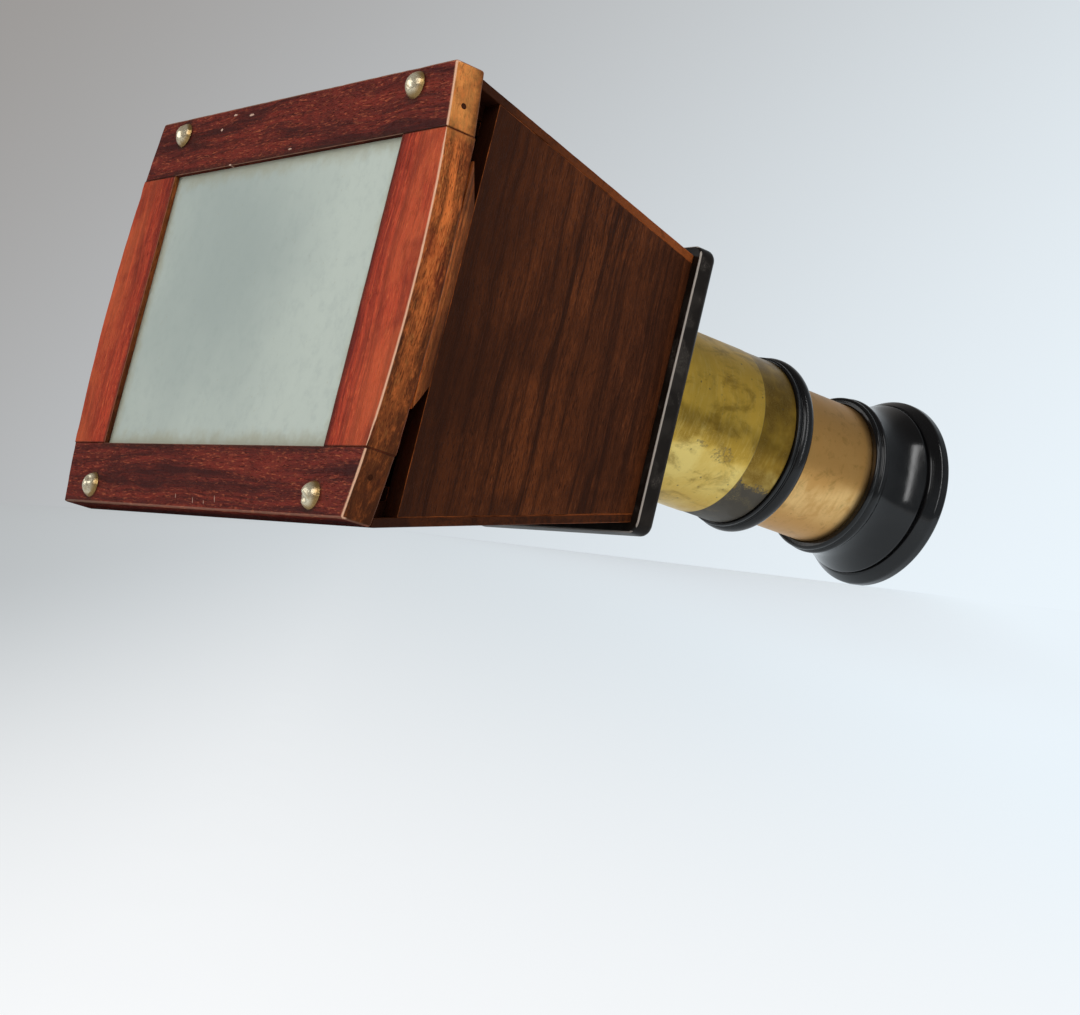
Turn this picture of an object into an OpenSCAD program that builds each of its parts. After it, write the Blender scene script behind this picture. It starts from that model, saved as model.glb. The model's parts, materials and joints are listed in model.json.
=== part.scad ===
// Hand-held viewer for glass slides: a tapered wooden box with a ground-glass front frame,
// a black end plate, a brass barrel and a push-pull draw tube with a turned eyepiece.
// Pieces are drawn with the optical axis along +Y, the front face of the frame at y = 0,
// and then laid down as the viewer rests: on the frame's lower back edge and the eyepiece rim.

/* [Front frame] */
// Width of the frame across its corners
frame_w = 133.4; // [125:0.1:145]
// Height of the frame
frame_h = 98; // [92:0.5:106]
// Thickness of the frame
frame_t = 7.4; // [6.8:0.1:9]
// How far each side of the frame swells out at mid-height
frame_bow = 5.2; // [2:0.1:8]
// Height of the top and bottom rails
rail_h = 15; // [13:0.5:17]
// Width of the clear window
window_w = 105; // [96:0.5:108]
// Distance of the frame's centre below the optical axis
frame_drop = 10.2; // [7:0.1:11]
// Depth of the glass behind the frame's front face
glass_set = 1.4; // [1.2:0.1:3.4]
// Width of the rebate that the glass sits in
rebate = 3; // [2:0.1:3.5]
// Thickness of the ground glass
glass_t = 2; // [1.5:0.1:2.4]
// Length of the stiles' tenons
tenon_len = 8.5; // [5:0.5:9]
// Thickness of the stiles' tenons
tenon_t = 2.4; // [2:0.1:3]
// Width of the stiles' tenons
tenon_w = 8; // [6:0.5:9]

/* [Slide slot] */
// Width of the slot behind the frame that a glass slide goes into
slot_w = 7; // [5:0.1:9]
// Width of a glass slide
slide_w = 108; // [100:0.5:112]
// Height of the slide stop at the slot's closed side
stop_h = 39; // [25:1:50]
// Height of the slide stop's centre above the frame's centre
stop_rise = 2.5; // [-6:0.5:6]
// Height of the runners that a slide leans on
runner_h = 3; // [2:0.1:4]
// Depth of the runners
runner_t = 3.6; // [2:0.1:6]

/* [Box] */
// Thickness of the top and bottom panels
panel_t = 5.2; // [4.6:0.1:6]
// Thickness of the side panels
side_t = 5.6; // [5:0.1:7]
// Thickness left at the top and bottom panels' edges, over the side panels
panel_lip = 2; // [1.4:0.1:3]
// How far the box's top lies below the frame's top
top_inset = 1.8; // [0:0.1:2.4]
// Length from the frame's front face to the end plate
box_len = 95.9; // [85:0.5:110]
// How far the end plate stands out past the box
plate_lip = 2.5; // [1.5:0.1:4]

/* [End plate] */
// Width and height of the end plate
plate_size = 71; // [68:0.1:76]
// Thickness of the end plate
plate_t = 5.4; // [4:0.1:7]
// Distance of the plate's centre below the optical axis
plate_drop = 2.1; // [0:0.1:3]
// Radius of the plate's rounded corners
plate_corner_r = 3; // [2.4:0.1:5]
// Radius of the end plate's back edges
plate_edge_r = 1.9; // [1:0.1:2.4]
// Radius of the end plate's front edges
plate_front_r = 0.5; // [0.3:0.1:1]

/* [Barrel] */
// Outer diameter of the brass barrel
barrel_d = 44.4; // [44:0.1:46]
// Wall of the barrel
barrel_wall = 1; // [0.8:0.1:1.4]
// Length of the barrel past the end plate
barrel_len = 47; // [40:0.5:55]
// Outer radius of the barrel's base ring past the barrel
base_ring_lip = 1; // [0.6:0.1:2]
// Thickness of the base ring
base_ring_t = 1.4; // [1:0.1:2]
// Width of the ring nut's face past the barrel
nut_lip = 1.6; // [1:0.1:1.8]
// Thickness of the ring nut inside the box
nut_t = 3; // [2:0.1:4]
// Room left around the ring nut in the panels' ends
nut_room = 0.5; // [0.3:0.1:0.8]
// Diameter of the collar's bead
collar_d = 47.1; // [46.4:0.1:49]
// Length of the collar past the barrel
collar_len = 5.3; // [4.4:0.1:8]
// Length of the collar inside the barrel
collar_spigot = 4; // [3:0.1:6]

/* [Draw tube] */
// Outer diameter of the draw tube
tube_d = 38.1; // [37:0.1:38.8]
// Wall of the draw tube
tube_wall = 0.8; // [0.6:0.1:1]
// How far the draw tube stands out of the collar
tube_out = 24.9; // [10:0.1:25.6]
// Length of the draw tube inside the barrel and collar
tube_in = 35.2; // [30:0.1:35.4]
// Length of the guide ring
guide_len = 6; // [4:0.1:8]
// Thickness of the rings that keep the guide ring on the tube
keeper_t = 1.5; // [1:0.1:2.5]
// Height of those rings above the tube
keeper_lip = 1.5; // [1:0.1:1.6]

/* [Eyepiece] */
// Diameter of the eyepiece rim
rim_d = 51.4; // [50.6:0.1:55]
// Thickness of the rim
rim_t = 5.7; // [5:0.1:7]
// Length of the rim's sloping front
rim_slope_len = 2.9; // [1.5:0.1:3.2]
// Height of the rim's sloping front
rim_slope = 1.9; // [1:0.1:2.2]
// Length of the eyepiece cup in front of the rim
cup_len = 16.8; // [16.4:0.1:20]
// Diameter of the bead at the cup's front
bead_d = 43; // [42.4:0.1:44]
// Length of that bead
bead_len = 4.1; // [3.4:0.1:5]
// Diameter of the neck behind the bead
neck_d = 41.7; // [41.2:0.1:42.2]
// Diameter of the bulb in front of the rim
bulb_d = 47.2; // [46.4:0.1:48]
// Depth of the groove between bulb and rim
groove_depth = 0.5; // [0.3:0.1:1]
// Length of the draw tube inside the cup
socket_len = 6.5; // [5:0.1:7]
// Diameter of the eye opening
eye_d = 20; // [14:0.5:24]
// Depth of the dished face around the eye opening
dish_depth = 3; // [1.5:0.1:3.2]
// Diameter of the lens
lens_d = 36.8; // [34:0.1:37]
// Thickness of the lens at its edge
lens_edge = 2.4; // [1.6:0.1:3]
// Bulge of each face of the lens
lens_bulge = 1; // [0.5:0.1:1.4]

/* [Fasteners] */
// Diameter of the domed nail heads
nail_head_d = 6.2; // [5:0.1:7]
// Height of the domed nail heads
nail_head_h = 2.3; // [1.5:0.1:3]
// Diameter of the nail shanks
nail_d = 1.6; // [1.2:0.1:2]
// Depth of the nails in the panels
nail_depth = 12; // [8:0.5:14]
// Distance of the nails from the frame's centre line
nail_x = 53; // [48:0.5:54]
// Distance of the nails from the frame's top and bottom
nail_inset = 4.4; // [4.2:0.1:4.6]
// Diameter of the tenon pins
pin_d = 1.2; // [0.8:0.1:1.6]
// Head diameter of the end plate's screws
screw_head_d = 4.6; // [4:0.1:5.4]
// Shank diameter of the end plate's screws
screw_d = 2; // [1.6:0.1:2.4]
// Depth of the screws in the panels
screw_depth = 8; // [6:0.5:9]
// Distance of the plate's screws from the outer faces of the box's sides
screw_inset = 9; // [8:0.5:14]

/* [Fits] */
// Gap around pieces that are glued, pinned or screwed together
seat_gap = 0.05; // [0.02:0.01:0.1]
// Radial clearance of the sliding and turning tubes
run_gap = 0.05; // [0.02:0.01:0.09]
// Play at the ends of the guide ring and of the draw tube's travel
end_play = 0.3; // [0.2:0.05:0.5]
// Room around the ground glass in its rebate
glass_room = 0.3; // [0.2:0.05:0.5]
// Radius of small turned edges
edge_r = 1; // [0.6:0.1:1.2]

/* [Hidden] */
$fn = 96;

wood_red = [0.45, 0.18, 0.13];
wood_orange = [0.60, 0.27, 0.17];
wood_dark = [0.25, 0.13, 0.09];
black = [0.08, 0.08, 0.08];
brass = [0.70, 0.58, 0.28];
tube_brass = [0.74, 0.56, 0.33];
pale_glass = [0.66, 0.71, 0.68];
clear_glass = [0.85, 0.90, 0.90];

far = 400;
half_w = frame_w / 2;
half_h = frame_h / 2;
window_h = frame_h - 2 * rail_h;
bow_r = (half_h * half_h + frame_bow * frame_bow) / (2 * frame_bow);
bow_x = half_w + frame_bow - bow_r;
rebate_w = window_w + 2 * rebate;
rebate_h = window_h + 2 * rebate;
bead_t = frame_t - glass_set - glass_t;
tenon_x = rebate_w / 2 + (half_w - rebate_w / 2 - tenon_w) / 2 + edge_r;
tenon_y = (frame_t - tenon_t - 0.8 * edge_r) / 2;
pin_z = window_h / 2 + 0.65 * tenon_len;
pin_y = tenon_y + tenon_t / 2;
pin_end_x = tenon_x - edge_r;
nail_z = half_h - nail_inset;
nail_sphere_r = (nail_head_d * nail_head_d / 4 + nail_head_h * nail_head_h) / (2 * nail_head_h);

slot_back = frame_t + slot_w;
plate_back = box_len + plate_t;
end_half_w = plate_size / 2 - plate_lip;
screw_x = end_half_w - screw_inset;
end_top = plate_size / 2 - plate_drop - plate_lip;
end_bottom = -plate_size / 2 - plate_drop + plate_lip;
front_top = half_h - frame_drop - top_inset;
front_bottom = -half_h - frame_drop;
box_run = box_len - frame_t;
top_slope = atan((front_top - end_top) / box_run);
bottom_slope = atan((end_bottom - front_bottom) / box_run);
side_slope = atan((half_w - end_half_w) / box_run);
side_t_x = side_t / cos(side_slope);

barrel_r = barrel_d / 2;
barrel_bore_r = barrel_r - barrel_wall;
barrel_end = plate_back + barrel_len;
collar_start = barrel_end - collar_spigot;
collar_end = barrel_end + collar_len;
collar_r = collar_d / 2;
tube_r = tube_d / 2;
tube_bore_r = tube_r - tube_wall;
tube_start = collar_end - tube_in;
keeper_r = tube_r + keeper_lip;
guide_start = tube_start + keeper_t + end_play;
guide_end = guide_start + guide_len;

cup_start = collar_end + tube_out;
cup_end = cup_start + cup_len;
rim_end = cup_end + rim_t;
rim_r = rim_d / 2;
bead_r = bead_d / 2;
neck_r = neck_d / 2;
bulb_r = bulb_d / 2;
lens_r = lens_d / 2;
shoulder_len = 1.6;
shoulder_r = tube_bore_r - edge_r;
cell_wall = 0.9;
cell_lip = 1.2;
cell_r = lens_r + seat_gap + cell_wall;
cell_start = cup_start + socket_len + shoulder_len;
cap_spigot_len = 2;
cap_spigot_r = cell_r + 0.8;
cell_end = cup_end - cap_spigot_len;
lens_lip_r = lens_r - 1.6;
lens_front = cell_start + cell_lip + lens_bulge / 4;
lens_ring_start = lens_front + lens_edge + lens_bulge / 4;

// The resting line touches the frame's lower back edge and the round edge of the rim.
rest_rise = -front_bottom - (rim_r - edge_r);
rest_run = rim_end - edge_r - frame_t;
tilt = atan2(rest_rise, rest_run) - asin(edge_r / norm([rest_rise, rest_run]));
nail_low_z = -frame_drop - nail_z;
nail_centre_y = nail_sphere_r - nail_head_h;
front_reach = nail_centre_y * cos(tilt) + nail_low_z * sin(tilt) - nail_sphere_r;
back_reach = (rim_end - edge_r) * cos(tilt) + (rim_r - edge_r) * sin(tilt) + edge_r;
lay_y = -(front_reach + back_reach) / 2;
lay_z = frame_t * sin(tilt) - front_bottom * cos(tilt);

// Places a piece from the optical-axis frame into the resting position.
module lay() {
    translate([0, lay_y, lay_z])
        rotate([-tilt, 0, 0])
            children();
}

// A block given by its two corners.
module block(low, high) {
    translate(low)
        cube(high - low);
}

// A round bar along the optical axis.
module rod(r, y0, y1) {
    translate([0, y0, 0])
        rotate([-90, 0, 0])
            cylinder(r = r, h = y1 - y0);
}

// A ring along the optical axis.
module ring(r_in, r_out, y0, y1) {
    difference() {
        rod(r_out, y0, y1);
        rod(r_in, y0 - edge_r, y1 + edge_r);
    }
}

// A turned piece: the outline gives [radius, distance along the axis].
module turned(outline) {
    rotate([-90, 0, 0])
        rotate_extrude()
            polygon(outline);
}

// Points on a round edge, as [radius, distance along the axis].
function round_edge(r, y, size, from, to, steps = 6) =
    [for (i = [0 : steps]) let (a = from + (to - from) * i / steps) [r + size * cos(a), y + size * sin(a)]];

// Frame pieces are drawn about the frame's own centre.
module in_frame() {
    lay()
        translate([0, 0, -frame_drop])
            children();
}

// One side of the bowed outline, as a solid as deep as needed.
module bow(side, depth) {
    translate([side * bow_x, -depth, 0])
        rotate([-90, 0, 0])
            cylinder(r = bow_r, h = 2 * depth, $fn = 256);
}

// The bowed outline of the frame.
module bowed(depth) {
    intersection() {
        bow(-1, depth);
        bow(1, depth);
    }
}

// Room for the glass and its beads at the back of the frame.
module glass_rebate() {
    block([-rebate_w / 2, glass_set, -rebate_h / 2], [rebate_w / 2, frame_t + edge_r, rebate_h / 2]);
}

// The tenon of a stile at one end.
module tenon(side, end, room) {
    translate([side * (tenon_x + tenon_w / 2), tenon_y + tenon_t / 2, end * window_h / 2])
        cube([tenon_w + 2 * room, tenon_t + 2 * room, 2 * (tenon_len + room)], center = true);
}

// The pin that locks a tenon, driven in from the frame's side.
module tenon_pin(side, end, room) {
    translate([side * pin_end_x, pin_y, end * pin_z])
        rotate([0, side * 90, 0])
            cylinder(d = pin_d + 2 * room, h = far);
}

// A domed nail with its shank, drawn at one corner of the frame.
module frame_nail(side, end, room) {
    translate([side * nail_x, 0, end * nail_z])
        union() {
            intersection() {
                translate([0, nail_centre_y, 0])
                    sphere(r = nail_sphere_r);
                translate([0, -nail_head_h - edge_r, 0])
                    rotate([-90, 0, 0])
                        cylinder(r = nail_head_d, h = nail_head_h + edge_r);
            }
            rotate([-90, 0, 0])
                cylinder(d = nail_d + 2 * room, h = frame_t + nail_depth + room);
        }
}

module all_nails(room) {
    for (side = [-1, 1], end = [-1, 1])
        frame_nail(side, end, room);
}

module rail(end) {
    difference() {
        intersection() {
            bowed(frame_t);
            block(
                [-far, 0, end > 0 ? window_h / 2 : -half_h],
                [far, frame_t, end > 0 ? half_h : -window_h / 2]);
        }
        glass_rebate();
        for (side = [-1, 1]) {
            tenon(side, end, seat_gap);
            tenon_pin(side, end, seat_gap);
            frame_nail(side, end, seat_gap);
        }
    }
}

module stile(side) {
    difference() {
        union() {
            intersection() {
                bowed(frame_t);
                block(
                    [side > 0 ? window_w / 2 : -far, 0, -window_h / 2],
                    [side > 0 ? far : -window_w / 2, frame_t, window_h / 2]);
            }
            for (end = [-1, 1])
                tenon(side, end, 0);
        }
        glass_rebate();
        for (end = [-1, 1])
            tenon_pin(side, end, seat_gap);
    }
}

// Plan of the box between two distances from the front, drawn in by inset at each side.
module box_plan(y0, y1, inset) {
    x0 = half_w - (y0 - frame_t) * tan(side_slope) - inset;
    x1 = half_w - (y1 - frame_t) * tan(side_slope) - inset;
    translate([0, 0, -far / 2])
        linear_extrude(far)
            polygon([[-x0, y0], [x0, y0], [x1, y1], [-x1, y1]]);
}

// A slab that lies along the box's top or bottom, between two depths from the outer face.
module top_slab(depth0, depth1) {
    translate([0, frame_t, front_top])
        rotate([-top_slope, 0, 0])
            block([-far, -far, -depth1], [far, far, -depth0]);
}

module bottom_slab(depth0, depth1) {
    translate([0, frame_t, front_bottom])
        rotate([bottom_slope, 0, 0])
            block([-far, -far, depth0], [far, far, depth1]);
}

// Room for the ring nut, hollowed out of any panel that comes close to it.
module nut_recess() {
    rod(barrel_r + nut_lip + nut_room, box_len - nut_t - nut_room, box_len + edge_r);
}

// Screw places on the end plate, centred in the ends of the top and bottom panels.
function screw_places() = [
    for (x = [-screw_x, screw_x]) [x, end_top - panel_t / 2],
    for (x = [-screw_x, screw_x]) [x, end_bottom + panel_t / 3]
];

// One countersunk screw. With room it is the hole for the screw, open at the plate's back.
module plate_screw(room) {
    start = box_len - screw_depth - room;
    neck = plate_back - (screw_head_d - screw_d) / 2;
    mouth = plate_back + edge_r;
    head_r = screw_head_d / 2 + room;
    turned(concat(
        [[0, start], [screw_d / 2 + room, start], [screw_d / 2 + room, neck], [head_r, plate_back]],
        room > 0 ? [[head_r, mouth], [0, mouth]] : [[0, plate_back]]));
}

module all_plate_screws(room) {
    for (place = screw_places())
        translate([place[0], 0, place[1]])
            plate_screw(room);
}

module frame_top_rail() {
    color(wood_red)
        in_frame()
            rail(1);
}

module frame_bottom_rail() {
    color(wood_red)
        in_frame()
            rail(-1);
}

module frame_left_stile() {
    color(wood_orange)
        in_frame()
            stile(-1);
}

module frame_right_stile() {
    color(wood_orange)
        in_frame()
            stile(1);
}

// The stop that closes the slot behind the right stile, with ends cut at 45 degrees.
module slide_stop() {
    stop_x = slide_w / 2 + end_play;
    back_x = half_w - slot_w * tan(side_slope);
    lean_x = back_x + slot_w;
    low = stop_rise - stop_h / 2;
    high = stop_rise + stop_h / 2;
    color(wood_orange)
        in_frame()
            intersection() {
                translate([0, 0, -far / 2])
                    linear_extrude(far)
                        polygon([[stop_x, frame_t], [lean_x, frame_t], [back_x, slot_back], [stop_x, slot_back]]);
                translate([far, 0, 0])
                    rotate([0, -90, 0])
                        linear_extrude(far)
                            polygon([
                                [low - slot_w, frame_t], [low, slot_back],
                                [high, slot_back], [high + slot_w, frame_t]]);
            }
}

module ground_glass() {
    glass_w = rebate_w - 2 * glass_room;
    glass_h = rebate_h - 2 * glass_room;
    color(pale_glass)
        in_frame()
            block([-glass_w / 2, glass_set, -glass_h / 2], [glass_w / 2, glass_set + glass_t, glass_h / 2]);
}

module glazing_beads() {
    y0 = glass_set + glass_t;
    bead_w = rebate;
    color(wood_red)
        in_frame() {
            for (end = [-1, 1])
                translate([0, y0 + bead_t / 2, end * (rebate_h - bead_w) / 2])
                    cube([rebate_w, bead_t, bead_w], center = true);
            for (side = [-1, 1])
                translate([side * (rebate_w - bead_w) / 2, y0 + bead_t / 2, 0])
                    cube([bead_w, bead_t, rebate_h - 2 * bead_w - 2 * seat_gap], center = true);
        }
}

module frame_nails() {
    color(brass)
        in_frame()
            all_nails(0);
}

module tenon_pins() {
    color(wood_dark)
        in_frame()
            intersection() {
                bowed(frame_t);
                for (side = [-1, 1], end = [-1, 1])
                    tenon_pin(side, end, 0);
            }
}

module top_panel() {
    color(wood_dark)
        difference() {
            lay()
                union() {
                    intersection() {
                        box_plan(frame_t, box_len, 0);
                        top_slab(0, panel_lip);
                    }
                    intersection() {
                        box_plan(frame_t, box_len, side_t_x);
                        top_slab(0, panel_t);
                    }
                }
            in_frame()
                all_nails(seat_gap);
            lay()
                all_plate_screws(seat_gap);
            lay()
                nut_recess();
        }
}

module bottom_panel() {
    color(wood_dark)
        difference() {
            lay()
                union() {
                    intersection() {
                        box_plan(frame_t, box_len, 0);
                        bottom_slab(0, panel_lip);
                    }
                    intersection() {
                        box_plan(frame_t, box_len, side_t_x);
                        bottom_slab(0, panel_t);
                    }
                }
            in_frame()
                all_nails(seat_gap);
            lay()
                all_plate_screws(seat_gap);
            lay()
                nut_recess();
        }
}

module side_panel(side) {
    lay()
        intersection() {
            difference() {
                box_plan(slot_back, box_len, 0);
                box_plan(slot_back - edge_r, box_len + edge_r, side_t_x);
                top_slab(-far, panel_lip);
                bottom_slab(-far, panel_lip);
                nut_recess();
            }
            block([side > 0 ? 0 : -far, 0, -far], [side > 0 ? far : 0, far, far]);
        }
}

module left_panel() {
    color(wood_dark)
        side_panel(-1);
}

module right_panel() {
    color(wood_dark)
        side_panel(1);
}

module top_runner() {
    color(wood_dark)
        lay()
            intersection() {
                box_plan(slot_back, slot_back + runner_t, side_t_x);
                top_slab(panel_t, panel_t + runner_h);
            }
}

module bottom_runner() {
    color(wood_dark)
        lay()
            intersection() {
                box_plan(slot_back, slot_back + runner_t, side_t_x);
                bottom_slab(panel_t, panel_t + runner_h);
            }
}

module end_plate() {
    flat = plate_size / 2 - plate_corner_r;
    front_core = plate_corner_r - plate_front_r;
    back_core = plate_corner_r - plate_edge_r;
    color(black)
        lay()
            difference() {
                translate([0, 0, -plate_drop])
                    hull()
                        for (x = [-flat, flat], z = [-flat, flat])
                            translate([x, 0, z])
                                turned(concat(
                                    [[0, box_len]],
                                    round_edge(front_core, box_len + plate_front_r, plate_front_r, -90, 0),
                                    round_edge(back_core, plate_back - plate_edge_r, plate_edge_r, 0, 90),
                                    [[0, plate_back]]));
                rod(barrel_r + seat_gap, box_len - edge_r, plate_back + edge_r);
                all_plate_screws(seat_gap);
            }
}

module end_plate_screws() {
    slot_half = screw_head_d / 10;
    color(brass)
        lay()
            difference() {
                all_plate_screws(0);
                for (place = screw_places())
                    translate([place[0], plate_back, place[1]])
                        cube([far / 40, 2 * slot_half, 2 * slot_half], center = true);
            }
}

module barrel() {
    color(brass)
        lay()
            difference() {
                union() {
                    rod(barrel_r, box_len - nut_t, barrel_end);
                    rod(barrel_r + base_ring_lip, plate_back, plate_back + base_ring_t);
                }
                rod(barrel_bore_r, box_len - nut_t - edge_r, barrel_end + edge_r);
            }
}

module barrel_nut() {
    color(brass)
        lay()
            ring(barrel_r + seat_gap, barrel_r + nut_lip, box_len - nut_t, box_len);
}

module barrel_collar() {
    lip_len = 0.2 * collar_len;
    lip_r = (barrel_r + collar_r) / 2;
    groove_r = barrel_r + (collar_r - barrel_r) / 4;
    bead_start = barrel_end + 1.4 * lip_len;
    bead_half = (collar_end - bead_start) / 2;
    bead_y = bead_start + bead_half;
    base_r = groove_r - (collar_r - groove_r) / 4;
    color(black)
        lay()
            difference() {
                union() {
                    turned(concat(
                        [[tube_bore_r, barrel_end], [lip_r, barrel_end], [lip_r, barrel_end + lip_len],
                            [groove_r, bead_start]],
                        [for (i = [1 : 11]) let (a = -90 + 15 * i)
                            [base_r + (collar_r - base_r) * cos(a), bead_y + bead_half * sin(a)]],
                        [[base_r - edge_r / 2, collar_end], [tube_bore_r, collar_end]]));
                    rod(barrel_bore_r - seat_gap, collar_start, barrel_end);
                }
                rod(tube_r + run_gap, collar_start - edge_r, collar_end + edge_r);
            }
}

module guide_ring() {
    color(brass)
        lay()
            ring(tube_r + run_gap, barrel_bore_r - run_gap, guide_start, guide_end);
}

module draw_tube() {
    color(tube_brass)
        lay()
            ring(tube_bore_r, tube_r, tube_start, cup_start + socket_len - seat_gap);
}

module guide_keepers() {
    color(brass)
        lay()
            for (y = [tube_start, guide_end + end_play])
                ring(tube_r, keeper_r, y, y + keeper_t);
}

module eyepiece_cup() {
    fine_len = 0.44 * bead_len;
    fine_r = bead_r - 0.35 * edge_r;
    bead_base = bead_r - 1.2 * edge_r;
    big_start = cup_start + fine_len;
    big_half = (bead_len - fine_len) / 2;
    neck_y = cup_start + bead_len;
    low_y = neck_y + 2.4 * edge_r;
    bulb_y = cup_end - edge_r;
    color(black)
        lay()
            difference() {
                turned(concat(
                    [[shoulder_r, cup_start], [bead_base, cup_start]],
                    [for (i = [1 : 7]) let (a = -90 + 22.5 * i)
                        [bead_base + (fine_r - bead_base) * cos(a), cup_start + fine_len / 2 * (1 + sin(a))]],
                    [for (i = [1 : 9]) let (a = -90 + 18 * i)
                        [bead_base + 0.4 * edge_r + (bead_r - bead_base - 0.4 * edge_r) * cos(a),
                            big_start + big_half * (1 + sin(a))]],
                    [[neck_r, neck_y + edge_r / 2]],
                    [for (i = [0 : 12]) let (s = i / 12)
                        [neck_r + (bulb_r - neck_r) * (0.62 * s * s + 0.38 * sin(90 * s) * s),
                            low_y + (bulb_y - low_y) * s]],
                    [[bulb_r - groove_depth, cup_end - edge_r / 2], [bulb_r - groove_depth, cup_end],
                        [shoulder_r, cup_end]]));
                rod(tube_r, cup_start - edge_r, cup_start + socket_len);
                rod(cell_r + seat_gap, cell_start, cup_end);
                rod(cap_spigot_r + seat_gap, cell_end, cup_end + edge_r);
            }
}

module eyepiece_cap() {
    eye_r = eye_d / 2;
    dish_r = rim_r - 3 * edge_r;
    color(black)
        lay()
            turned(concat(
                [[lens_lip_r, cell_end], [cap_spigot_r, cell_end], [cap_spigot_r, cup_end]],
                [[rim_r - rim_slope, cup_end], [rim_r - 0.45 * rim_slope, cup_end + 0.5 * rim_slope_len]],
                [[rim_r, cup_end + rim_slope_len]],
                round_edge(rim_r - edge_r, rim_end - edge_r, edge_r, 0, 90),
                [[dish_r, rim_end]],
                [for (i = [1 : 8]) let (s = i / 8)
                    [dish_r + (eye_r - dish_r) * s, rim_end - dish_depth * sin(90 * s)]],
                [[eye_r, cup_end], [lens_lip_r, cup_end]]));
}

module lens_cell() {
    color(brass)
        lay()
            difference() {
                rod(cell_r, cell_start, cell_end);
                rod(lens_r + seat_gap, cell_start + cell_lip, cell_end + edge_r);
                rod(lens_lip_r, cell_start - edge_r, cell_end);
            }
}

module lens_ring() {
    color(brass)
        lay()
            ring(lens_lip_r, lens_r, lens_ring_start, cell_end);
}

module eye_lens() {
    lens_back = lens_front + lens_edge;
    face_steps = 12;
    color(clear_glass)
        lay()
            turned(concat(
                [for (i = [0 : face_steps]) let (r = lens_r * i / face_steps)
                    [r, lens_front - lens_bulge * (1 - r * r / (lens_r * lens_r))]],
                [for (i = [face_steps : -1 : 0]) let (r = lens_r * i / face_steps)
                    [r, lens_back + lens_bulge * (1 - r * r / (lens_r * lens_r))]]));
}

frame_top_rail();
frame_bottom_rail();
frame_left_stile();
frame_right_stile();
slide_stop();
ground_glass();
glazing_beads();
frame_nails();
tenon_pins();
top_panel();
bottom_panel();
left_panel();
right_panel();
top_runner();
bottom_runner();
end_plate();
end_plate_screws();
barrel();
barrel_nut();
barrel_collar();
guide_ring();
draw_tube();
guide_keepers();
eyepiece_cup();
eyepiece_cap();
lens_cell();
lens_ring();
eye_lens();
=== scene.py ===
"""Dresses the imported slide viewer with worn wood, brass, black turned pieces and ground glass."""

import json
import math
from functools import cache, cached_property

import bmesh
import bpy
from bpy.props import FloatProperty, FloatVectorProperty, IntProperty, PointerProperty
from mathutils import Euler, Matrix, Vector, noise


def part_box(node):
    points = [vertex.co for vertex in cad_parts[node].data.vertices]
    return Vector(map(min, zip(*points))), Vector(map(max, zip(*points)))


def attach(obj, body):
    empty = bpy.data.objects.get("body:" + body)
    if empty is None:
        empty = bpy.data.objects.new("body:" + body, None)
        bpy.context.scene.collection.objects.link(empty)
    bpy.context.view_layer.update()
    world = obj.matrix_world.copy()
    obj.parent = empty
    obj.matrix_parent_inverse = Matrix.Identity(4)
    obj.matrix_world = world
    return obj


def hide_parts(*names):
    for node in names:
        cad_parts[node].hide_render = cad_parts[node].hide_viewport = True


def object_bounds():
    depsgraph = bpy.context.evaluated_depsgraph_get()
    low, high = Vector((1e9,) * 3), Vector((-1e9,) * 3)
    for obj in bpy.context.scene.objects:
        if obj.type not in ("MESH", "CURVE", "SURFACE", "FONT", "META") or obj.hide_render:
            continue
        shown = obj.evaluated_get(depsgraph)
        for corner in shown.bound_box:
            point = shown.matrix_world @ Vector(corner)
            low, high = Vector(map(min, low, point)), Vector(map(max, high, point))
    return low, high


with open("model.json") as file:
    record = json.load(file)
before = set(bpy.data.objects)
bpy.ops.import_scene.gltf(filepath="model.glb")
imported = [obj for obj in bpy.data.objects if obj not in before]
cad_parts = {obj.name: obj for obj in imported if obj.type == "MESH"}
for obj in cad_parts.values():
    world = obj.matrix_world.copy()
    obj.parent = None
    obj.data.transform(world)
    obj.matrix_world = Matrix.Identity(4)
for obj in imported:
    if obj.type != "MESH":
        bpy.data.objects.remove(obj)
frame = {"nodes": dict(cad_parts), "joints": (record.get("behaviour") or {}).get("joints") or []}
CAD_BOX = [list(corner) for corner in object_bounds()]

bl_info = {
    "name": "Slide viewer dresser",
    "version": (1, 0, 0),
    "blender": (4, 5, 0),
    "location": "View3D > Sidebar > Slide Viewer",
    "description": "Builds the looks of a hand-held slide viewer around its packed solids",
    "category": "Object",
}

MM = 0.001
JOINTS = {joint["name"]: joint for joint in frame["joints"]}

# The optical axis, from the joints, and the viewer's own directions across, along and up.
AXIS = Vector(JOINTS["focus_slide"]["axis"]).normalized()
ACROSS = Vector((1.0, 0.0, 0.0))
UP = ACROSS.cross(AXIS)
AXIS_POINT = Vector(JOINTS["eyepiece_turn"]["pos_m"])


def node_points(node):
    """The corners of a CAD node's mesh."""
    return [vertex.co for vertex in frame["nodes"][node].data.vertices]


FRONT = min((point - AXIS_POINT).dot(AXIS) for point in node_points("frame_left_stile"))
ORIGIN = AXIS_POINT + AXIS * FRONT


def local(point):
    """Across, along and up from where the optical axis meets the frame's front, in mm."""
    offset = (point - ORIGIN) / MM
    return Vector((offset.dot(ACROSS), offset.dot(AXIS), offset.dot(UP)))


def placed(across, along, up):
    """The point in the shared frame for local sizes in mm."""
    return ORIGIN + (ACROSS * across + AXIS * along + UP * up) * MM


def node_spots(node):
    """The corners of a CAD node's mesh in local mm."""
    return [local(point) for point in node_points(node)]


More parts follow.
